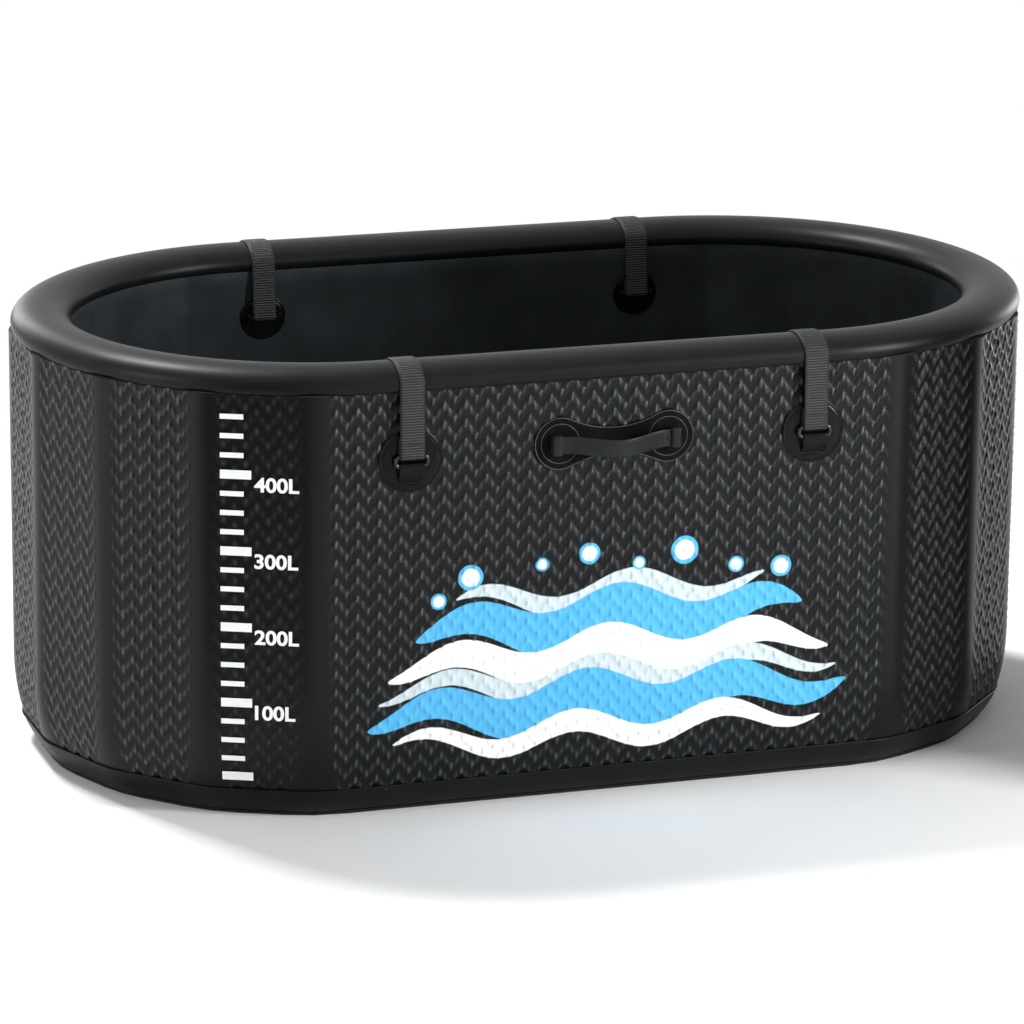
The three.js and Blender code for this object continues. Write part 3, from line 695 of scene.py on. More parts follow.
panels = []                            # angle, reach and centre, from the front panel round to the right
for end in (1, -1):
    facing = -end * math.pi / 2
    panels.append((facing, frontReach, end * wall["straightHalf"]))
    for k in range(wall["endFacets"]):
        panels.append((facing + foldStart + (k + 0.5) * facetTurn, facetReach, end * wall["straightHalf"]))


def foldCentre(index, inset):          # where a panel meets the next, both moved in by inset
    angle1, reach1, middle1 = panels[index % len(panels)]
    angle2, reach2, middle2 = panels[(index + 1) % len(panels)]
    d1 = middle1 * math.cos(angle1) + reach1 - inset
    d2 = middle2 * math.cos(angle2) + reach2 - inset
    scale = math.sin(angle2 - angle1)
    x = (d1 * math.sin(angle2) - d2 * math.sin(angle1)) / scale
    y = (d2 * math.cos(angle1) - d1 * math.cos(angle2)) / scale
    return Vector((x, y))


def foldPoint(index, share, inset, radius):
    angle1 = panels[index % len(panels)][0]
    turn = (panels[(index + 1) % len(panels)][0] - angle1) % math.tau
    a = angle1 + turn * share
    return foldCentre(index, inset + radius) + radius * Vector((math.cos(a), math.sin(a)))


def footLevel(z):                      # inset and fold radius of the outside at a height
    if z >= wall["footHeight"]:
        return 0.0, wall["foldRadius"]
    curve = 1 - math.cos(math.asin(1 - z / wall["footHeight"]))
    radius = wall["foldRadius"] + (wall["footFoldRadius"] - wall["foldRadius"]) * curve
    return wall["footDepth"] * curve, radius


def outline(inset, radius, z):
    steps = wall["foldSteps"]
    points = []
    for index in range(len(panels)):
        points += [(*foldPoint(index, k / steps, inset, radius), z) for k in range(steps + 1)]
    return points


def outsideRing(z, depth):
    inset, radius = footLevel(z)
    return outline(inset + depth, radius - depth, z)


def insideRing(inset, z):
    return outline(inset, wall["innerFoldRadius"] + wall["thickness"] - inset, z)


def wallHeights(pitch):                # heights at even distances along the curved foot and the wall
    low = baseRailTop - wall["skirt"]
    steps = wall["footSteps"]
    profile = []
    for k in range(steps + 1):
        z = low + (wall["footHeight"] - low) * k / steps
        profile.append(Vector((footLevel(z)[0], z)))
    profile.append(Vector((0.0, wallTop)))
    line, step = evenly(profile, pitch)
    return [(p.y, i * step) for i, p in enumerate(line)]


def wallColumns(first, last, pitch):   # fold or flat, its panel and the share along it
    steps = wall["foldSteps"]
    columns = []
    for index in range(first, last + 1):
        start = steps // 2 if index == first else 1
        columns += [("fold", index - 1, k / steps) for k in range(start, steps)]
        ends = [foldPoint(index - 1, 1, *footLevel(wallTop)), foldPoint(index, 0, *footLevel(wallTop))]
        count = round((ends[1] - ends[0]).length / pitch)
        columns += [("flat", index, k / count) for k in range(count + 1)]
    return columns + [("fold", last, k / steps) for k in range(1, steps // 2 + 1)]


def wallRow(columns, z, depth):        # points of a level, and how far they are from the middle and the folds
    inset, radius = footLevel(z)
    inset += depth
    radius -= depth
    points, spots, ends = [], [], {}
    for kind, index, share in columns:
        if kind == "fold":
            points.append((*foldPoint(index, share, inset, radius), z))
            spots.append((0.0, 0.0))
            continue
        if index not in ends:
            ends[index] = (foldPoint(index - 1, 1, inset, radius), foldPoint(index, 0, inset, radius))
        start, end = ends[index]
        length = (end - start).length
        points.append((*start.lerp(end, share), z))
        spots.append(((share - 0.5) * length, min(share, 1 - share) * length))
    return points, spots


def makeWall(name, first, last, pitch, finish):
    columns = wallColumns(first, last, pitch)
    heights = wallHeights(pitch)
    count = len(columns)
    points, faces = [], []
    fields = {"across": [], "up": [], "gap": [], "press": []}
    press = [wall["scalePress"] if index == scaleIndex else 1.0 for kind, index, share in columns]
    for z, up in heights:
        row, spots = wallRow(columns, z, 0.0)
        points += row
        fields["across"] += [spot[0] for spot in spots]
        fields["gap"] += [spot[1] for spot in spots]
        fields["up"] += [up] * count
        fields["press"] += press
    outerRows = len(heights)
    backHeights = heights[::wall["backSkip"]]
    if backHeights[-1] != heights[-1]:
        backHeights.append(heights[-1])
    for z, up in backHeights:          # the plain back of the skin
        points += wallRow(columns, z, wall["skin"])[0]
    for values in fields.values():
        values += [0.0] * (count * len(backHeights))
    backStart = outerRows * count
    for start, rows in ((0, outerRows), (backStart, len(backHeights))):
        for r in range(rows - 1):
            here = start + r * count
            there = here + count
            faces += [(here + i, here + i + 1, there + i + 1, there + i) for i in range(count - 1)]
    outerTop = (outerRows - 1) * count
    backTop = backStart + (len(backHeights) - 1) * count
    for outer, back in ((0, backStart), (outerTop, backTop)):
        faces += [(outer + i, outer + i + 1, back + i + 1, back + i) for i in range(count - 1)]
    for column in (0, count - 1):      # the two ends lie in the middle of a fold
        side = [r * count + column for r in range(outerRows)]
        side += [backStart + r * count + column for r in reversed(range(len(backHeights)))]
        faces.append(tuple(side))
    piece = makePiece(name, (points, faces), finish, 50.0, fields)
    grow(piece, herringbone, emboss, finish)
    mount(piece, "tub", "outer_skin")


backIndex = 1 + wall["endFacets"]
scaleIndex = len(panels) - 1           # the facet to the left of the front panel
makeWall("wallFront", 0, 0, wall["frontPitch"], "printedSkin")
makeWall("wallRight", 1, backIndex - 1, wall["endPitch"], "embossedSkin")
makeWall("wallBack", backIndex, backIndex, wall["frontPitch"], "embossedSkin")
makeWall("wallLeft", backIndex + 1, scaleIndex, wall["endPitch"], "embossedSkin")
print("wall panels embossed")


# rim rail, base rail and the inside

rim = {
    "overhang": 7 * mm,
    "halfHeight": 27 * mm,
    "drop": 10 * mm,
    "sectionSteps": 44,
    "endSteps": 88,
    "straightSteps": 24,
    "lip": 1.6 * mm,                   # rounding of the lower edges
    "lipMiddle": (0.4, 0.15),          # inset and rise of its middle, as shares of it
}
rimHalfWidth = wall["thickness"] / 2 + rim["overhang"]
rimMiddle = wall["rimRadius"] - rimHalfWidth
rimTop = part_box("rim_rail")[1].z
rimCentre = rimTop - rim["halfHeight"]
rimLowAngle = math.asin(rim["drop"] / rim["halfHeight"])


def rimSection(grown, steps):          # (outward, up) from the middle of the rail, over its top
    section = []
    for k in range(steps + 1):
        a = -rimLowAngle + (math.pi + 2 * rimLowAngle) * k / steps
        outward = (rimHalfWidth + grown) * math.cos(a)
        section.append(Vector((outward, (rim["halfHeight"] + grown) * math.sin(a))))
    return section


def rimPath():                         # middle line and outward direction around the tub
    path = []
    half = wall["straightHalf"]
    for end in (1, -1):
        for k in range(rim["endSteps"] + 1):
            a = -end * math.pi / 2 + math.pi * k / rim["endSteps"]
            away = Vector((math.cos(a), math.sin(a), 0.0))
            path.append((Vector((end * half, 0.0, 0.0)) + away * rimMiddle, away))
        for k in range(1, rim["straightSteps"]):
            away = Vector((0.0, end, 0.0))
            x = end * half * (1 - 2 * k / rim["straightSteps"])
            path.append((Vector((x, 0.0, 0.0)) + away * rimMiddle, away))
    return path


def makeRim():
    over = rimSection(0.0, rim["sectionSteps"])
    lip = rim["lip"]
    inset, rise = rim["lipMiddle"]
    low = over[0].y
    edge = over[0].x
    under = []
    for side in (-1, 1):               # rounded lower edges, then flat underneath
        tucked = [Vector((side * (edge - lip), low)), Vector((side * (edge - lip * inset), low + lip * rise))]
        under += tucked[::side]
    section = over[1:-1] + under
    rings = []
    for point, away in rimPath():
        rings.append([point + away * p.x + Vector((0.0, 0.0, rimCentre + p.y)) for p in section])
    mount(makePiece("rimRail", loft(rings, True), "smoothRail", 60.0), "tub", "rim_rail")


baseRail = {
    "gap": 0.3 * mm,
    "thickness": 1.6 * mm,
    "levels": 16,
    "bead": 1.4 * mm,                  # how far the bead along the top stands out
    "beadLow": 3.2 * mm,               # its lower and upper edge, below the top
    "beadHigh": 1.0 * mm,
    "edge": 0.4 * mm,
}


def makeBaseRail():
    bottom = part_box("base_rail")[0].z
    levels = baseRail["levels"]
    heights = [bottom + (baseRailTop - bottom) * k / levels for k in range(levels + 1)]
    face = baseRail["gap"] + baseRail["thickness"]
    rings = [outsideRing(z, -face) for z in heights[:-1]]
    bead = baseRail["bead"]
    for lift, drop in ((bead, baseRail["beadLow"]), (bead, baseRail["beadHigh"]), (baseRail["edge"], 0.0)):
        rings.append(outsideRing(baseRailTop - drop, -face - lift))
    rings += [outsideRing(z, -baseRail["gap"]) for z in reversed(heights)]
    mount(makePiece("baseRail", loft(rings, True), "smoothRail", 50.0), "tub", "base_rail")


liner = {
    "weld": 9 * mm,                    # fillet along the floor
    "weldSteps": 5,
    "tape": 22 * mm,                   # welded tape under the rim
    "tapeProud": 0.9 * mm,
    "floorStations": 230,
    "floorLanes": 120,
    "floorReach": 0.9999,              # keeps the last stations off the very ends
}
floorEmboss = {
    "Column": 60 * mm,
    "Row": 46 * mm,
    "Rise": 0.65,
    "Knob": 30 * mm,
    "Depth": 1.6 * mm,
    "Sink": 0.0,
    "Fade": 45 * mm,
    "Swell": 2.0 * mm,
}
linerFace = wall["thickness"]
linerBack = wall["thickness"] - wall["skin"]
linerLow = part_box("inner_liner")[0].z
linerFloor = linerLow + wall["skin"]


def makeLinerWall():
    tapeLow = wallTop - liner["tape"]
    rings = [insideRing(linerBack, z) for z in (linerLow, wallTop)]
    rings += [insideRing(linerFace + liner["tapeProud"], z) for z in (wallTop, tapeLow + mm)]
    rings += [insideRing(linerFace, z) for z in (tapeLow, linerFloor + liner["weld"])]
    for k in range(1, liner["weldSteps"] + 1):
        a = math.pi / 2 * k / liner["weldSteps"]
        inward = liner["weld"] * (1 - math.cos(a))
        rings.append(insideRing(linerFace + inward, linerFloor + liner["weld"] * (1 - math.sin(a))))
    rings.append(insideRing(linerFace + liner["weld"], linerLow))
    mount(makePiece("linerWall", loft(rings, True), "linerVinyl", 45.0), "tub", "inner_liner")


def makeLinerFloor():
    edge = [Vector(p[:2]) for p in insideRing(linerFace + liner["weld"] - mm, 0.0)]
    right = sorted((p for p in edge if p.y >= 0), key=lambda p: p.x)
    farX = right[-1].x
    points, faces = [], []
    fields = {"across": [], "up": [], "gap": [], "press": []}
    stations = liner["floorStations"]
    lanes = liner["floorLanes"]

    def halfWidth(x):
        for before, after in zip(right, right[1:]):
            if before.x <= x <= after.x and after.x > before.x:
                return before.y + (after.y - before.y) * (x - before.x) / (after.x - before.x)
        return right[-1].y

    for z, side in ((linerFloor, 1.0), (linerLow, 0.0)):
        for i in range(stations + 1):
            x = farX * (2 * i / stations - 1) * liner["floorReach"]
            wide = halfWidth(x)
            for j in range(lanes + 1):
                y = wide * (2 * j / lanes - 1)
                points.append((x, y, z))
                fields["across"].append(x)
                fields["up"].append(y)
                fields["gap"].append(side * min(wide - abs(y), farX - abs(x)))
                fields["press"].append(1.0)
    half = (stations + 1) * (lanes + 1)

    def spot(i, j, layer):
        return layer * half + i * (lanes + 1) + j

    for layer in (0, 1):
        for i in range(stations):
            for j in range(lanes):
                corners = ((i, j), (i + 1, j), (i + 1, j + 1), (i, j + 1))
                faces.append(tuple(spot(*corner, layer) for corner in corners))
    for i in range(stations):
        for j in (0, lanes):
            faces.append((spot(i, j, 0), spot(i + 1, j, 0), spot(i + 1, j, 1), spot(i, j, 1)))
    for j in range(lanes):
        for i in (0, stations):
            faces.append((spot(i, j, 0), spot(i, j + 1, 0), spot(i, j + 1, 1), spot(i, j, 1)))
    piece = makePiece("linerFloor", (points, faces), "linerVinyl", 45.0, fields)
    grow(piece, herringbone, floorEmboss, "linerVinyl")
    mount(piece, "tub", "inner_liner")


makeRim()
makeBaseRail()
makeLinerWall()
makeLinerFloor()
print("rails and liner made")


# straps over the rim

strap = {
    "width": 37 * mm,
    "web": 2 * mm,
    "tail": 27 * mm,
    "gap": 0.3 * mm,
    "ribPitch": 3.9 * mm,
    "ribDepth": 0.7 * mm,
    "selvage": 2.6 * mm,
    "selvageRib": 0.15,                # share of the ribs' height along the selvage
    "meshStep": 0.62 * mm,
    "widthSteps": 12,
    "wrapSteps": 16,
    "rimSteps": 60,
    "leave": 1.0 * mm,                 # height above the rim's middle where the strap leaves it
    "stitchRows": (13 * mm, 19 * mm),  # above the ring's bar
    "stitchLength": 3.0 * mm,
    "thread": 0.9 * mm,
    "stitchCount": 8,
    "stitchSpread": 0.8,               # share of the width
}
patch = {
    "radius": 47.5 * mm,
    "thickness": 3 * mm,
    "tabWidth": 38 * mm,
    "tabLength": 25 * mm,
    "tabSheet": 2 * mm,
    "tabStep": 1.0 * mm,
    "tabWidthSteps": 8,
    "tabEdgeSteps": 6,
    "wrapSteps": 14,
    "crease": 1.0 * mm,                # height of the moulded ridge below the tab
    "creaseEnd": 0.05 * mm,
    "creaseDrop": 4 * mm,
    "creaseSteps": 8,
    "sides": 96,
}
strapRing = {
    "width": 48 * mm,
    "height": 14 * mm,
    "rod": 3 * mm,
    "corner": 6 * mm,
    "cornerSteps": 10,
    "sides": 20,
}
anchor = {"radius": 36 * mm, "post": 6 * mm, "bevel": 1.4 * mm, "sides": 84}
patchTop = patch["thickness"] + strap["gap"]
wrapRadius = strapRing["rod"] + strap["gap"] + strap["web"] / 2
standOff = patchTop + strap["gap"] + strap["web"] / 2 + wrapRadius


def onPanel(side, x, z=0.0):           # from (across, outward, up) on a panel to the tub's own axes
    outward = -1.0 if side == "front" else 1.0
    return lambda p: Vector((x + p[0], outward * (frontReach + p[1]), z + p[2]))


def strapLine(patchZ, anchorZ):
    barZ = patchZ + strapRing["height"] / 2
    line = [Vector((standOff - wrapRadius, barZ + strap["tail"]))]
    line += arc((standOff, barZ), wrapRadius, math.pi, math.tau, strap["wrapSteps"])
    grown = strap["gap"] + strap["web"] / 2
    over = rimSection(grown, strap["rimSteps"])
    low = next(k for k, p in enumerate(over) if p.y > strap["leave"])
    for p in over[low:len(over) - low]:
        line.append(Vector((rimMiddle - frontReach + p.x, rimCentre + p.y)))
    inside = -wall["thickness"] - standOff
    line += arc((inside, anchorZ), wrapRadius, math.pi, math.tau, strap["wrapSteps"])
    line.append(Vector((inside + wrapRadius, anchorZ + strap["tail"])))
    return line


def makeStrap(side, place, x, patchZ, anchorZ):
    line, step = evenly(strapLine(patchZ, anchorZ), strap["meshStep"])
    section = stripSection(strap["width"], strap["web"], strap["widthSteps"])
    rings = strip(line, section)
    shape = moved(loft(rings, False), onPanel(side, x))
    edge = strap["width"] / 2 - strap["selvage"]
    flat = [1.0 if abs(across) < edge else strap["selvageRib"] for across, lift in section]
    fields = {"along": [], "face": []}
    for i in range(len(rings)):
        fields["along"] += [i * step] * len(section)
        fields["face"] += flat
    name = f"{side}_{place}_strap"
    piece = makePiece(name + "Webbing", shape, "strapWebbing", 70.0, fields)
    grow(piece, ribs, {"Pitch": strap["ribPitch"], "Depth": strap["ribDepth"]}, "strapWebbing")
    mount(piece, "tub", name)
    barZ = patchZ + strapRing["height"] / 2
    out = standOff + wrapRadius + strap["web"] / 2 + strap["ribDepth"]
    spread = strap["width"] * strap["stitchSpread"]
    spots = []
    for height in strap["stitchRows"]:
        for k in range(strap["stitchCount"]):
            across = spread * ((k + 0.5) / strap["stitchCount"] - 0.5)
            spots.append(onPanel(side, x)((across, out, barZ + height)))
    rows = makePiece(name + "Stitches", (spots, []), "stitchThread", fields={})
    grow(rows, stitches, {"Length": strap["stitchLength"], "Thread": strap["thread"]}, "stitchThread")
    rows.data.shade_smooth()
    mount(rows, "tub", name)


def discProfile(radius, top, low):     # (radius, outward) of a welded disc with a groove near its edge
    return [
        (0.0, low),
        (radius, low),
        (radius, top - 1.7 * mm),
        (radius - 0.6 * mm, top - 1.0 * mm),
        (radius - 1.8 * mm, top - 0.75 * mm),
        (radius - 3.2 * mm, top - 0.7 * mm),
        (radius - 3.9 * mm, top - 1.0 * mm),
        (radius - 4.6 * mm, top - 0.9 * mm),
        (radius - 5.6 * mm, top - 0.4 * mm),
        (radius - 9.0 * mm, top - 0.1 * mm),
        (radius - 16.0 * mm, top),
        (0.0, top),
    ]


def makePatch(side, place, x, patchZ):
    profile = discProfile(patch["radius"], patchTop, strap["gap"])
    disc = moved(turned(profile, patch["sides"]), lambda p: p + Vector((0, 0, patchZ)))
    barZ = patchZ - strapRing["height"] / 2
    buried = patchTop - patch["thickness"] / 2
    line = [Vector((buried, barZ - patch["tabLength"]))]
    line.append(Vector((standOff + wrapRadius / 2, barZ - patch["tabLength"] / 2)))
    line += arc((standOff, barZ), wrapRadius, 0.0, math.pi, patch["wrapSteps"])
    line.append(Vector((standOff - wrapRadius, barZ - patch["tabLength"] / 3)))
    line.append(Vector((buried, barZ - patch["tabLength"] / 2)))
    tabSteps = (patch["tabWidthSteps"], patch["tabEdgeSteps"])
    section = stripSection(patch["tabWidth"], patch["tabSheet"], *tabSteps)
    tab = loft(strip(evenly(line, patch["tabStep"])[0], section), False)
    steps = patch["creaseSteps"]
    creaseZ = barZ - patch["tabLength"] - patch["creaseDrop"]
    crease = []
    for k in range(steps + 1):         # a low moulded ridge below the tab
        t = 2 * k / steps - 1
        high = patch["crease"] * math.sqrt(max(0.0, 1 - t * t)) + patch["creaseEnd"]
        middle = Vector((t * patch["tabWidth"] / 2, patchTop, creaseZ))
        crease.append([middle + Vector((0, high * math.cos(a), high * math.sin(a))) for a in angles(steps)])
    shape = moved(together(disc, tab, loft(crease, False)), onPanel(side, x))
    name = f"{side}_{place}_strap_patch"
    mount(makePiece(name + "Disc", shape, "mouldedPatch", 40.0), "tub", name)


def rodAround(middles, rod, sides):    # rings of a rod, from its middle points and their outward directions
    rings = []
    for middle, away in middles:
        section = []
        for a in angles(sides):
            section.append(middle + away * (rod * math.cos(a)) + Vector((0.0, rod * math.sin(a), 0.0)))
        rings.append(section)
    return rings


def makeRing(side, place, x, patchZ):
    middles = []
    for sideX, sideZ, start in ((1, 1, 0.0), (-1, 1, 0.5), (-1, -1, 1.0), (1, -1, 1.5)):
        corner = Vector((sideX * (strapRing["width"] / 2 - strapRing["corner"]), standOff,
                         patchZ + sideZ * (strapRing["height"] / 2 - strapRing["corner"])))
        for k in range(strapRing["cornerSteps"] + 1):
            a = math.pi * start + math.pi / 2 * k / strapRing["cornerSteps"]
            away = Vector((math.cos(a), 0.0, math.sin(a)))
            middles.append((corner + away * strapRing["corner"], away))
    shape = moved(loft(rodAround(middles, strapRing["rod"], strapRing["sides"]), True), onPanel(side, x))
    name = f"{side}_{place}_strap_ring"
    mount(makePiece(name + "Rod", shape, "ringPlastic", 60.0), "tub", name)


def roundedBox(low, high, bevel, steps=4):  # a block with all its edges rounded, along X
    half = (high - low) / 2
    middle = (high + low) / 2
    rings = []
    ends = [(-1, k / steps) for k in range(steps + 1)] + [(1, 1 - k / steps) for k in range(steps + 1)]
    for side, share in ends:
        a = math.pi / 2 * share
        x = side * (half.x - bevel + bevel * math.cos(a))
        shrink = bevel * (1 - math.sin(a))
        section = []
        for sideY, sideZ, start in ((1, 1, 0.0), (-1, 1, 0.5), (-1, -1, 1.0), (1, -1, 1.5)):
            for k in range(steps + 1):
                b = math.pi * start + math.pi / 2 * k / steps
                y = sideY * (half.y - bevel) + (bevel - shrink) * math.cos(b)
                z = sideZ * (half.z - bevel) + (bevel - shrink) * math.sin(b)
                section.append(middle + Vector((x, y, z)))
        rings.append(section)
    return loft(rings, False)


def makeAnchor(side, place, x, anchorZ):
    disc = turned(discProfile(anchor["radius"], patchTop, strap["gap"]), anchor["sides"])
    barEnd = strapRing["width"] / 2
    bar = []
    for k in (-1, 1):
        circle = [(k * barEnd, standOff + strapRing["rod"] * math.cos(a), strapRing["rod"] * math.sin(a))
                  for a in angles(strapRing["sides"])]
        bar.append(circle)
    shapes = [disc, loft(bar, False)]
    for k in (-1, 1):
        reach = Vector((anchor["post"] / 2, 0.0, strapRing["rod"] + anchor["post"] / 2))
        low = Vector((k * barEnd, patchTop - mm, 0.0)) - reach
        high = Vector((k * barEnd, standOff + strapRing["rod"], 0.0)) + reach
        shapes.append(roundedBox(low, high, anchor["bevel"]))
    inward = onPanel(side, x, anchorZ)
    face = -wall["thickness"]
    shape = moved(together(*shapes), lambda p: inward(Vector((p[0], face - p[1], p[2]))))
    name = f"{side}_{place}_strap_anchor"
    mount(makePiece(name + "Post", shape, "mouldedPatch", 40.0), "tub", name)


def middleOf(node):
    low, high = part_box(node)
    return (low + high) / 2


for side in ("front", "back"):
    for place in ("left", "right"):
        stem = f"{side}_{place}_strap"
        ringPlace = middleOf(stem + "_ring")
        anchorPlace = middleOf(stem + "_anchor")
        makeStrap(side, place, ringPlace.x, ringPlace.z, anchorPlace.z)
        makePatch(side, place, ringPlace.x, ringPlace.z)
        makeRing(side, place, ringPlace.x, ringPlace.z)
        makeAnchor(side, place, anchorPlace.x, anchorPlace.z)
print("straps, patches and rings made")


# carry handles

handle = {
    "span": 82 * mm,
    "disc": 39 * mm,
    "waist": 20 * mm,
    "discSteps": 40,
    "waistSteps": 26,
    "plate": 2.5 * mm,
    "plateEdge": (                     # inset and drop from the top, towards the middle
        (0.0, 0.8 * mm),
        (0.3 * mm, 0.3 * mm),
        (1.0 * mm, 0.0),
        (2.4 * mm, 0.0),
    ),
    "gap": 0.3 * mm,
    "axisGap": 10 * mm,
    "gripHeight": 26 * mm,
    "gripThickness": 3.5 * mm,
    "bow": 22 * mm,
    "sag": 5 * mm,
    "bowSteps": 400,
    "gripSteps": 14,
    "gripEdgeSteps": 8,
    "pin": 3.1 * mm,
    "pinInward": 6 * mm,               # from the end of the grip
    "pinOutward": 9 * mm,
    "pinSides": 20,
    "ribPitch": 2.3 * mm,
    "ribDepth": 0.35 * mm,
    "smoothEnd": 12 * mm,              # unribbed length at each end of the grip
    "meshStep": 0.45 * mm,
    "weldRing": 29 * mm,
    "weldSteps": 80,
    "weldWire": 0.55 * mm,
    "rimWire": 0.6 * mm,
    "rimWireInset": 1.2 * mm,
    "wireSides": 8,
    "keeperBevel": 3.2 * mm,
    "keeperSteps": 5,
}
handleZ = middleOf("front_handle_patch").z
gripAxis = handle["plate"] + handle["gap"] + handle["axisGap"]


def patchOutline(inset):               # (across, up) around two discs joined by a waist
    disc = handle["disc"] - inset
    waist = handle["waist"] - inset
    hollow = (handle["span"] ** 2 + waist ** 2 - disc ** 2) / (2 * (disc - waist))
    height = waist + hollow
    lean = math.atan2(height, handle["span"])
    discSteps = handle["discSteps"]
    waistSteps = handle["waistSteps"]
    points = arc((handle["span"], 0.0), disc, lean - math.pi, math.pi - lean, discSteps)
    points += arc((0.0, height), hollow, -lean, lean - math.pi, waistSteps)[1:-1]
    points += arc((-handle["span"], 0.0), disc, lean, math.tau - lean, discSteps)
    points += arc((0.0, -height), hollow, math.pi - lean, lean, waistSteps)[1:-1]
    return points


def wireLoop(points, out, wire):       # a thin bead along a closed line of (across, up)
    rings = []
    for i, point in enumerate(points):
        along = (points[(i + 1) % len(points)] - points[i - 1]).normalized()
        away = Vector((along.y, 0.0, -along.x))
        middle = Vector((point.x, out, point.y))
        rings += rodAround([(middle, away)], wire, handle["wireSides"])
    return loft(rings, True)


def makeHandlePatch(side):
    top = handle["gap"] + handle["plate"]
    levels = [(0.0, handle["gap"])] + [(inset, top - drop) for inset, drop in handle["plateEdge"]]
    rings = [[(p.x, out, p.y) for p in patchOutline(inset)] for inset, out in levels]
    place = onPanel(side, 0.0, handleZ)
    name = f"{side}_handle_patch"
    piece = makePiece(name + "Plate", moved(loft(rings, False), place), "handleRubber", 40.0)
    mount(piece, "tub", name)
    beads = [wireLoop(patchOutline(handle["rimWireInset"]), top, handle["rimWire"])]
    for end in (-1, 1):
        centre = (end * handle["span"], 0.0)
        circle = arc(centre, handle["weldRing"], 0.0, math.tau, handle["weldSteps"])[:-1]
        beads.append(wireLoop(circle, top, handle["weldWire"]))
    lines = makePiece(f"{side}_handle_weldLines", moved(together(*beads), place), "weldLine", 60.0)
    mount(lines, "tub", name)


def makeKeeper(node):
    low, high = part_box(node)
    block = roundedBox(low, high, handle["keeperBevel"], handle["keeperSteps"])
    piece = makePiece(node + "Block", block, "gripRubber", 40.0)
    mount(piece, "tub", node)


def makeGrip(side):
    span = handle["span"]
    steps = handle["bowSteps"]
    fine = [Vector((x, 0.0)) for x in (-span + 2 * span * k / steps for k in range(steps + 1))]
    bows = [(1 + math.cos(math.pi * p.x / span)) / 2 for p in fine]
    line, step = evenly([Vector((p.x, handle["bow"] * b)) for p, b in zip(fine, bows)], handle["meshStep"])
    sizes = (handle["gripHeight"], handle["gripThickness"], handle["gripSteps"], handle["gripEdgeSteps"])
    section = stripSection(*sizes)
    rings = []
    for row in strip(line, section):   # the strip's across runs upwards here
        middle = line[len(rings)].x
        drop = handle["sag"] * (1 + math.cos(math.pi * middle / span)) / 2
        rings.append([(x, gripAxis + out, up - drop) for up, x, out in row])
    fields = {"along": [], "face": []}
    edge = handle["gripHeight"] / 2 - handle["gripThickness"]
    length = step * (len(rings) - 1)
    for i in range(len(rings)):
        inner = min(i * step, length - i * step) > handle["smoothEnd"]
        fields["along"] += [i * step] * len(section)
        fields["face"] += [1.0 if inner and abs(up) < edge else 0.0 for up, lift in section]
    shapes = [loft(rings, False)]
    for end in (-1, 1):
        pin = []
        for x in (span - handle["pinInward"], span + handle["pinOutward"]):
            pin.append([(end * x, gripAxis + handle["pin"] * math.cos(a), handle["pin"] * math.sin(a))
                        for a in angles(handle["pinSides"])])
        shapes.append(loft(pin, False))
    shape = moved(together(*shapes), onPanel(side, 0.0, handleZ))
    for values in fields.values():
        values += [0.0] * (len(shape[0]) - len(values))
    name = f"{side}_handle_grip"
    piece = makePiece(name + "Strip", shape, "gripRubber", 60.0, fields)
    grow(piece, ribs, {"Pitch": handle["ribPitch"], "Depth": handle["ribDepth"]}, "gripRubber")
    mount(piece, f"{side}_grip", name)


for side in ("front", "back"):
    makeHandlePatch(side)
    for place in ("left", "right"):
        makeKeeper(f"{side}_handle_keeper_{place}")
    makeGrip(side)
print("carry handles made")


# inflation valve and water fittings in the back panel

fitting = {
    "sleeve": 17 * mm,
    "bore": 13 * mm,
    "inside": 14 * mm,
    "flange": 30 * mm,
    "flangeThick": 5 * mm,
    "gasket": 2 * mm,
    "spigot": 22 * mm,
    "root": (                          # foot of the spigot: away from it, above the flange
        (3 * mm, 0.0),
        (2 * mm, 0.4 * mm),
        (0.0, 0.5 * mm),
    ),
    "gap": 0.3 * mm,
    "capWall": 3.6 * mm,
    "capLift": 0.6 * mm,
    "capDish": (0.72, 0.68),           # edges of the hollow in its top, as shares of its radius
    "capDishDepth": 0.7 * mm,
    "capRibs": 30,
    "capRib": 0.9 * mm,
    "capRibSunk": 0.35,
    "nut": 28 * mm,
    "nutThick": 9 * mm,
    "nutFace": 2 * mm,                 # how far its flat faces end inside its radius
    "nutSide": 0.6 * mm,
    "nutChamfer": (0.8 * mm, 1.0 * mm),
    "nutRibs": 24,
    "nutRib": 1.3 * mm,
    "nutRibTrim": 2 * mm,
    "edge": 1.2 * mm,
    "edgeSteps": 4,
}
valve = {
    "flange": 27 * mm,
    "flangeThick": 4 * mm,
    "barrel": 17 * mm,
    "barrelDepth": 30 * mm,
    "bore": 12 * mm,
    "edge": 1.5 * mm,
    "cap": 24 * mm,
    "capThick": 5 * mm,
    "capEdge": 2 * mm,
    "plug": 5 * mm,
    "wing": (34 * mm, 8 * mm, 4.5 * mm),
    "wingSunk": 1.0 * mm,
    "wingBevel": 1.6 * mm,
    "wingSteps": 5,
    "capRibs": 36,
    "capRib": 0.7 * mm,
    "capRibSunk": 0.4,
    "capRibTrim": 2.4 * mm,
}


def rounded(radius, out, edge):        # a rounded outer edge of a turned piece
    points = []
    for k in range(fitting["edgeSteps"] + 1):
        a = math.pi / 2 * k / fitting["edgeSteps"]
        points.append((radius - edge + edge * math.cos(a), out + (edge * math.sin(a) - edge)))
    return points


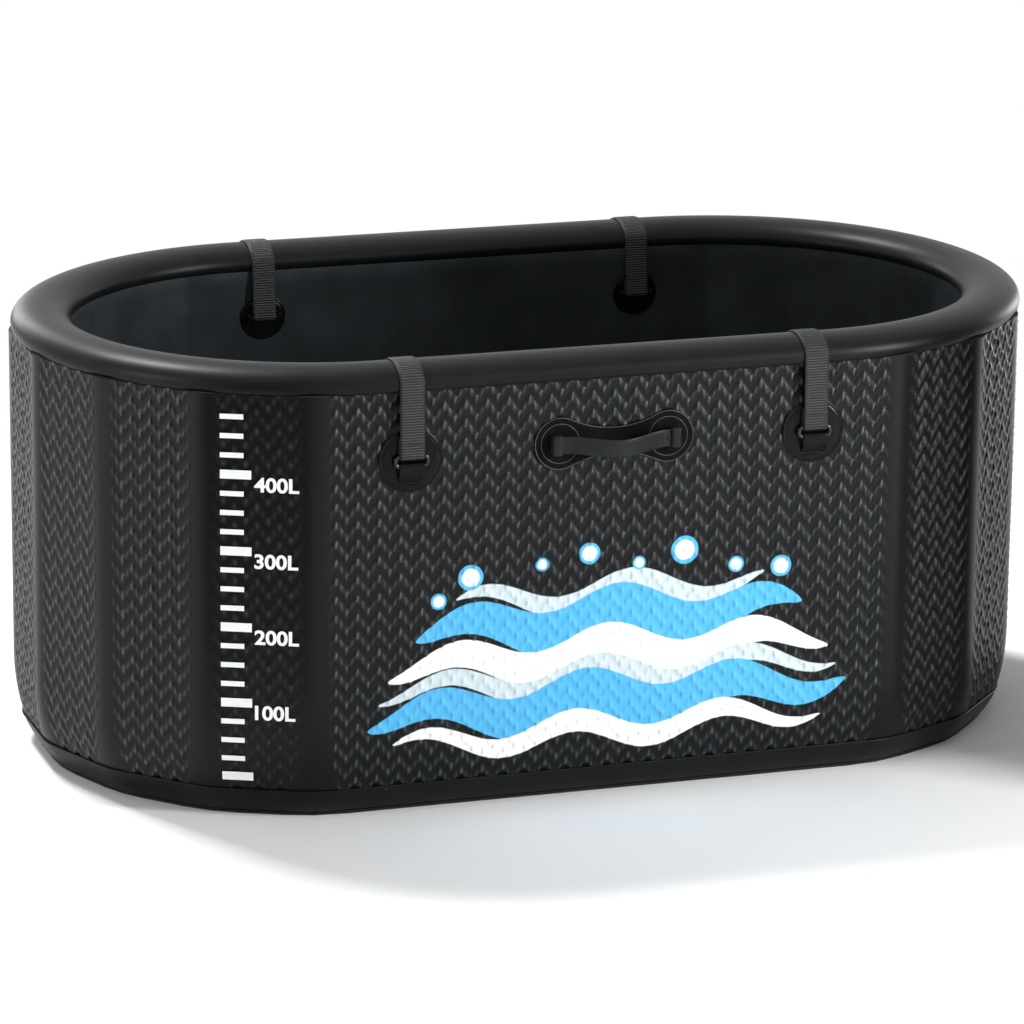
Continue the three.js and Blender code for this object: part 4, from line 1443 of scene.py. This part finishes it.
def makeFitting(name):
    centre = middleOf(f"{name}_cap")
    at = onPanel("back", centre.x, centre.z)
    gap = fitting["gap"]
    low = fitting["gasket"] + 2 * gap
    high = low + fitting["flangeThick"]
    end = high + fitting["spigot"]
    back = -wall["thickness"] - fitting["inside"]
    edge = fitting["edge"]
    sleeve = [(fitting["bore"], back), (fitting["sleeve"], back)]
    sleeve += [(fitting["sleeve"], low), (fitting["flange"], low)]
    sleeve += rounded(fitting["flange"], high, edge)
    sleeve += [(fitting["sleeve"] + away, high + lift) for away, lift in fitting["root"]]
    sleeve += [(fitting["sleeve"], end), (fitting["bore"], end)]
    piece = makePiece(name + "_sleeveBody", moved(turned(sleeve), at), "fittingPlastic", 40.0)
    mount(piece, "tub", f"{name}_sleeve")

    inner = fitting["sleeve"] + gap
    outer = inner + fitting["capWall"]
    bottom = high + fitting["capLift"]
    inside = end + gap
    top = inside + fitting["capWall"]
    cap = [(0.0, inside), (inner, inside), (inner, bottom), (outer, bottom)]
    cap += rounded(outer, top, edge)
    dishEdge, dishFloor = fitting["capDish"]
    dish = top - fitting["capDishDepth"]
    cap += [(outer * dishEdge, top), (outer * dishFloor, dish), (0.0, dish)]
    lid = makePiece(name + "_capBody", moved(turned(cap), at), "fittingPlastic", 40.0)
    ribLength = top - bottom - 3 * edge
    knurls = {
        "Ribs": fitting["capRibs"],
        "Radius": outer - fitting["capRib"] * fitting["capRibSunk"],
        "Rib": fitting["capRib"],
        "Length": ribLength,
        "Middle": at((0.0, bottom + edge + ribLength / 2, 0.0)),
    }
    grow(lid, knurl, knurls, "fittingPlastic")
    mount(lid, f"{name}_lid", f"{name}_cap")

    nutHigh = -wall["thickness"] - gap
    nutLow = nutHigh - fitting["nutThick"]
    nutFace = fitting["nut"] - fitting["nutFace"]
    nutSide = fitting["nut"] - fitting["nutSide"]
    chamferHigh, chamferLow = fitting["nutChamfer"]
    nut = [(inner, nutHigh), (nutFace, nutHigh), (nutSide, nutHigh - chamferHigh)]
    nut += [(nutSide, nutLow + chamferLow), (nutFace, nutLow), (inner, nutLow)]
    piece = makePiece(name + "_nutRing", moved(turned(nut), at), "fittingPlastic", 40.0)
    knurls = {
        "Ribs": fitting["nutRibs"],
        "Radius": nutSide,
        "Rib": fitting["nutRib"],
        "Length": fitting["nutThick"] - fitting["nutRibTrim"],
        "Middle": at((0.0, (nutHigh + nutLow) / 2, 0.0)),
    }
    grow(piece, knurl, knurls, "fittingPlastic")
    mount(piece, "tub", f"{name}_nut")


def makeValve():
    centre = middleOf("valve_cap")
    at = onPanel("back", centre.x, centre.z)
    gap = fitting["gap"]
    top = gap + valve["flangeThick"]
    body = [(valve["bore"], -valve["barrelDepth"]), (valve["barrel"], -valve["barrelDepth"])]
    body += [(valve["barrel"], gap), (valve["flange"], gap)]
    body += rounded(valve["flange"], top, valve["edge"]) + [(valve["bore"], top)]
    piece = makePiece("valveFlange", moved(turned(body), at), "fittingPlastic", 40.0)
    mount(piece, "tub", "valve_body")
    low = valve["flangeThick"] + 2 * gap
    high = low + valve["capThick"]
    plugRadius = valve["bore"] - gap
    plugLow = low - valve["plug"]
    lid = [(0.0, plugLow), (plugRadius, plugLow), (plugRadius, low), (valve["cap"], low)]
    lid += rounded(valve["cap"], high, valve["capEdge"]) + [(0.0, high)]
    length, width, height = valve["wing"]
    corner = Vector((length / 2, 0.0, width / 2))
    wingLow = Vector((0, high - valve["wingSunk"], 0)) - corner
    wingHigh = Vector((0, high + height, 0)) + corner
    wing = roundedBox(wingLow, wingHigh, valve["wingBevel"], valve["wingSteps"])
    piece = makePiece("valveCapLid", moved(together(turned(lid), wing), at), "fittingPlastic", 40.0)
    knurls = {
        "Ribs": valve["capRibs"],
        "Radius": valve["cap"] - valve["capRib"] * valve["capRibSunk"],
        "Rib": valve["capRib"],
        "Length": valve["capThick"] - valve["capRibTrim"],
        "Middle": at((0.0, low + (valve["capThick"] - valve["capEdge"]) / 2, 0.0)),
    }
    grow(piece, knurl, knurls, "fittingPlastic")
    mount(piece, "valve_lid", "valve_cap")


for name in ("drain", "inlet", "outlet"):
    makeFitting(name)
makeValve()
print("valve and water fittings made")


# fill scale on the facet left of the front panel

fillScale = {
    "perHundred": 112.8 * mm,          # height of 100 litres inside
    "step": 25,                        # litres between marks
    "most": 475,
    "labels": (100, 200, 300, 400),
    "zero": 14 * mm,                   # lowest mark above the inside floor
    "left": -54 * mm,                  # from the middle of the facet
    "longMark": 45 * mm,
    "shortMark": 34 * mm,
    "longHeight": 13 * mm,
    "shortHeight": 7.5 * mm,
    "labelLeft": -5 * mm,
    "labelDrop": 14 * mm,
    "labelHeight": 22 * mm,
    "labelBold": 0.028,                # share of the letter size
    "labelSqueeze": 1.1,
    "lift": 1.6 * mm,                  # above the panel, just over the emboss
    "film": 0.35 * mm,
    "rowStep": 2 * mm,                 # the marks follow the curved foot in rows
}


def facetPlace(index):                 # from (across, up, lift) on a facet to the tub's own axes
    angle, reach, middle = panels[index]
    away = Vector((math.cos(angle), math.sin(angle)))
    right = Vector((-math.sin(angle), math.cos(angle)))
    centre = Vector((middle, 0.0))

    def place(p):
        across, up, lift = p
        flat = centre + away * (reach - footLevel(up)[0] + lift) + right * across
        return Vector((flat.x, flat.y, up))
    return place


def markShape(left, right, low, high):
    lift = fillScale["lift"]
    film = fillScale["film"]
    rows = max(1, round((high - low) / fillScale["rowStep"]))
    rings = []
    for k in range(rows + 1):
        up = low + (high - low) * k / rows
        rings.append([(left, up, lift), (right, up, lift), (right, up, lift + film), (left, up, lift + film)])
    return loft(rings, False)


def labelShape(words):                 # letters as a flat mesh, lower left corner at the origin
    curve = bpy.data.curves.new("label", "FONT")
    curve.body = words
    curve.size = 1.0
    curve.offset = fillScale["labelBold"]
    curve.extrude = 0.01               # any depth serves; the film's own is set later
    holder = bpy.data.objects.new("label", curve)
    bpy.context.scene.collection.objects.link(holder)
    bpy.context.view_layer.update()
    graph = bpy.context.evaluated_depsgraph_get()
    mesh = bpy.data.meshes.new_from_object(holder.evaluated_get(graph))
    points = [v.co.copy() for v in mesh.vertices]
    faces = [tuple(face.vertices) for face in mesh.polygons]
    bpy.data.objects.remove(holder)
    bpy.data.curves.remove(curve)
    bpy.data.meshes.remove(mesh)
    low = Vector((min(p.x for p in points), min(p.y for p in points), 0.0))
    tall = max(p.y for p in points) - low.y
    return [(p - low) / tall for p in points], faces


def makeFillScale():
    place = facetPlace(scaleIndex)
    shapes = []
    for litres in range(0, fillScale["most"] + 1, fillScale["step"]):
        middle = linerFloor + fillScale["zero"] + fillScale["perHundred"] * litres / 100
        long = litres % 100 == 0
        tall = fillScale["longHeight"] if long else fillScale["shortHeight"]
        right = fillScale["left"] + (fillScale["longMark"] if long else fillScale["shortMark"])
        shapes.append(markShape(fillScale["left"], right, middle - tall / 2, middle + tall / 2))
    for litres in fillScale["labels"]:
        points, faces = labelShape(f"{litres}L")
        tall = fillScale["labelHeight"]
        wide = tall * fillScale["labelSqueeze"]
        mark = linerFloor + fillScale["zero"] + fillScale["perHundred"] * litres / 100
        low = mark - fillScale["labelDrop"] - tall / 2
        placed = []
        for p in points:
            lift = fillScale["lift"] + (fillScale["film"] if p.z > 0 else 0.0)
            placed.append((fillScale["labelLeft"] + p.x * wide, low + p.y * tall, lift))
        shapes.append((placed, faces))
    piece = makePiece("fillScaleMarks", moved(together(*shapes), place), "scaleInk", 30.0)
    mount(piece, "tub", "outer_skin")


makeFillScale()
print("fill scale made")


# finishes of the CAD pieces that stay as they are

plainNodes = {
    "base_sheet": "baseRubber",
    "floor_pad": "padFoam",
    "drop_stitch_core": "stitchCore",
    "valve_nut": "fittingPlastic",
    "valve_seal": "gasketRubber",
    "valve_spring": "springSteel",
    "valve_plunger": "fittingPlastic",
    **{f"{name}_gasket": "gasketRubber" for name in ("drain", "inlet", "outlet")},
    **{f"{name}_strainer": "fittingPlastic" for name in ("drain", "inlet", "outlet")},
}
for name, finish in plainNodes.items():
    nodes[name].data.materials.clear()
    nodes[name].data.materials.append(finishes[finish])


# floor, lights and background

studio = {
    "floorSize": 30.0,
    "floorColour": "f2f3f3",
    "floorDrop": 0.2 * mm,             # just under the tub's base
    "floorRough": 0.9,
    "floorSpecular": 0.1,
    "speckScale": 30.0,
    "speckTone": 0.95,
    "speckShare": 0.12,
    "clearFrom": 1.0,                  # the floor runs out into the white background
    "clearTo": 1.9,
    "ambient": 0.40,
    "boxes": {                         # azimuth, elevation, distance, width, height, watts
        "front": (44.0, 17.0, 3.4, 0.3, 1.3, 102.0),
        "left": (-77.0, 14.0, 3.4, 0.4, 1.4, 24.0),
        "backLeft": (-161.0, 18.0, 3.4, 0.6, 1.4, 20.0),
        "rightBack": (118.0, 4.0, 3.4, 0.4, 0.8, 20.0),
        "backTop": (-150.0, 57.0, 9.0, 1.3, 1.3, 760.0),
    },
    "flags": {                         # dark cards that the camera doesn't see: ends, height, keeps light off
        "flagRight": ((1.12, -1.08), (1.12, -0.36), 1.5, True),
        "flagLeft": ((-1.03, -0.795), (-0.72, -1.01), 1.2, False),
    },
}
plainWhite = (1.0, 1.0, 1.0, 1.0)


def makeFloor():
    half = studio["floorSize"] / 2
    corners = [(-half, -half, 0.0), (half, -half, 0.0), (half, half, 0.0), (-half, half, 0.0)]
    mesh = bpy.data.meshes.new("floor")
    drop = Vector((0, 0, studio["floorDrop"]))
    mesh.from_pydata([Vector(c) - drop for c in corners], [], [(0, 1, 2, 3)])
    fixed = {"Roughness": studio["floorRough"], "Specular IOR Level": studio["floorSpecular"]}
    finish, plug, shader = startFinish("studioFloor", fixed)
    place = objectPlace(plug)
    distance = plug.node("ShaderNodeVectorMath", {"operation": "LENGTH"}, {0: place}, "Value")
    speck = plug.noise(place, studio["speckScale"])
    tone = studio["speckTone"]
    colour = plug.mix(speck * studio["speckShare"], ink(studio["floorColour"]), (tone, tone, tone, 1.0))
    plug.feed(shader.inputs["Base Color"], colour)
    seen = plug.node("ShaderNodeLightPath", out="Is Camera Ray")
    away = distance.step(studio["clearFrom"], studio["clearTo"]) * seen
    white = plug.node("ShaderNodeEmission", None, {"Color": plainWhite, "Strength": 1.0})
    blend = plug.node("ShaderNodeMixShader", None, {0: away, 1: Plug(plug.tree, shader.outputs[0]), 2: white})
    plug.feed(plug.tree.nodes["Material Output"].inputs["Surface"], blend)
    mesh.materials.append(finish)
    floor = bpy.data.objects.new("floor", mesh)
    bpy.context.scene.collection.objects.link(floor)


def makeFlags():
    for name, (start, end, height, shades) in studio["flags"].items():
        corners = [(*start, 0.0), (*end, 0.0), (*end, height), (*start, height)]
        mesh = bpy.data.meshes.new(name)
        mesh.from_pydata(corners, [], [(0, 1, 2, 3)])
        mesh.materials.append(finishes["gasketRubber"])
        card = bpy.data.objects.new(name, mesh)
        bpy.context.scene.collection.objects.link(card)
        card.visible_camera = False
        card.visible_diffuse = shades
        card.visible_shadow = shades


def makeLights():
    middle = Vector(camera["target"])
    for name, (azimuth, elevation, distance, width, height, watts) in studio["boxes"].items():
        data = bpy.data.lights.new(name, "AREA")
        data.shape = "RECTANGLE"
        data.size = width
        data.size_y = height
        data.energy = watts
        lamp = bpy.data.objects.new(name, data)
        away = around(azimuth, elevation)
        lamp.location = middle + away * distance
        lamp.rotation_mode = "QUATERNION"
        lamp.rotation_quaternion = away.to_track_quat("Z", "Y")
        bpy.context.scene.collection.objects.link(lamp)


def makeWorld():
    world = bpy.data.worlds.new("studio")
    world.use_nodes = True
    bpy.context.scene.world = world
    plug = Plug(world.node_tree)
    world.node_tree.nodes.clear()
    white = plug.node("ShaderNodeBackground", None, {"Color": plainWhite, "Strength": 1.0})
    dim = plug.node("ShaderNodeBackground", None, {"Color": plainWhite, "Strength": studio["ambient"]})
    seen = plug.node("ShaderNodeLightPath", out="Is Camera Ray")
    for label in ("Is Glossy Ray", "Is Transmission Ray"):
        seen = seen.atLeast(plug.node("ShaderNodeLightPath", out=label))
    blend = plug.node("ShaderNodeMixShader", None, {0: seen, 1: dim, 2: white})
    outlet = world.node_tree.nodes.new("ShaderNodeOutputWorld")
    plug.feed(outlet.inputs["Surface"], blend)


makeFloor()
makeFlags()
makeLights()
makeWorld()
bpy.context.scene.view_settings.view_transform = "Standard"
print("studio lit")
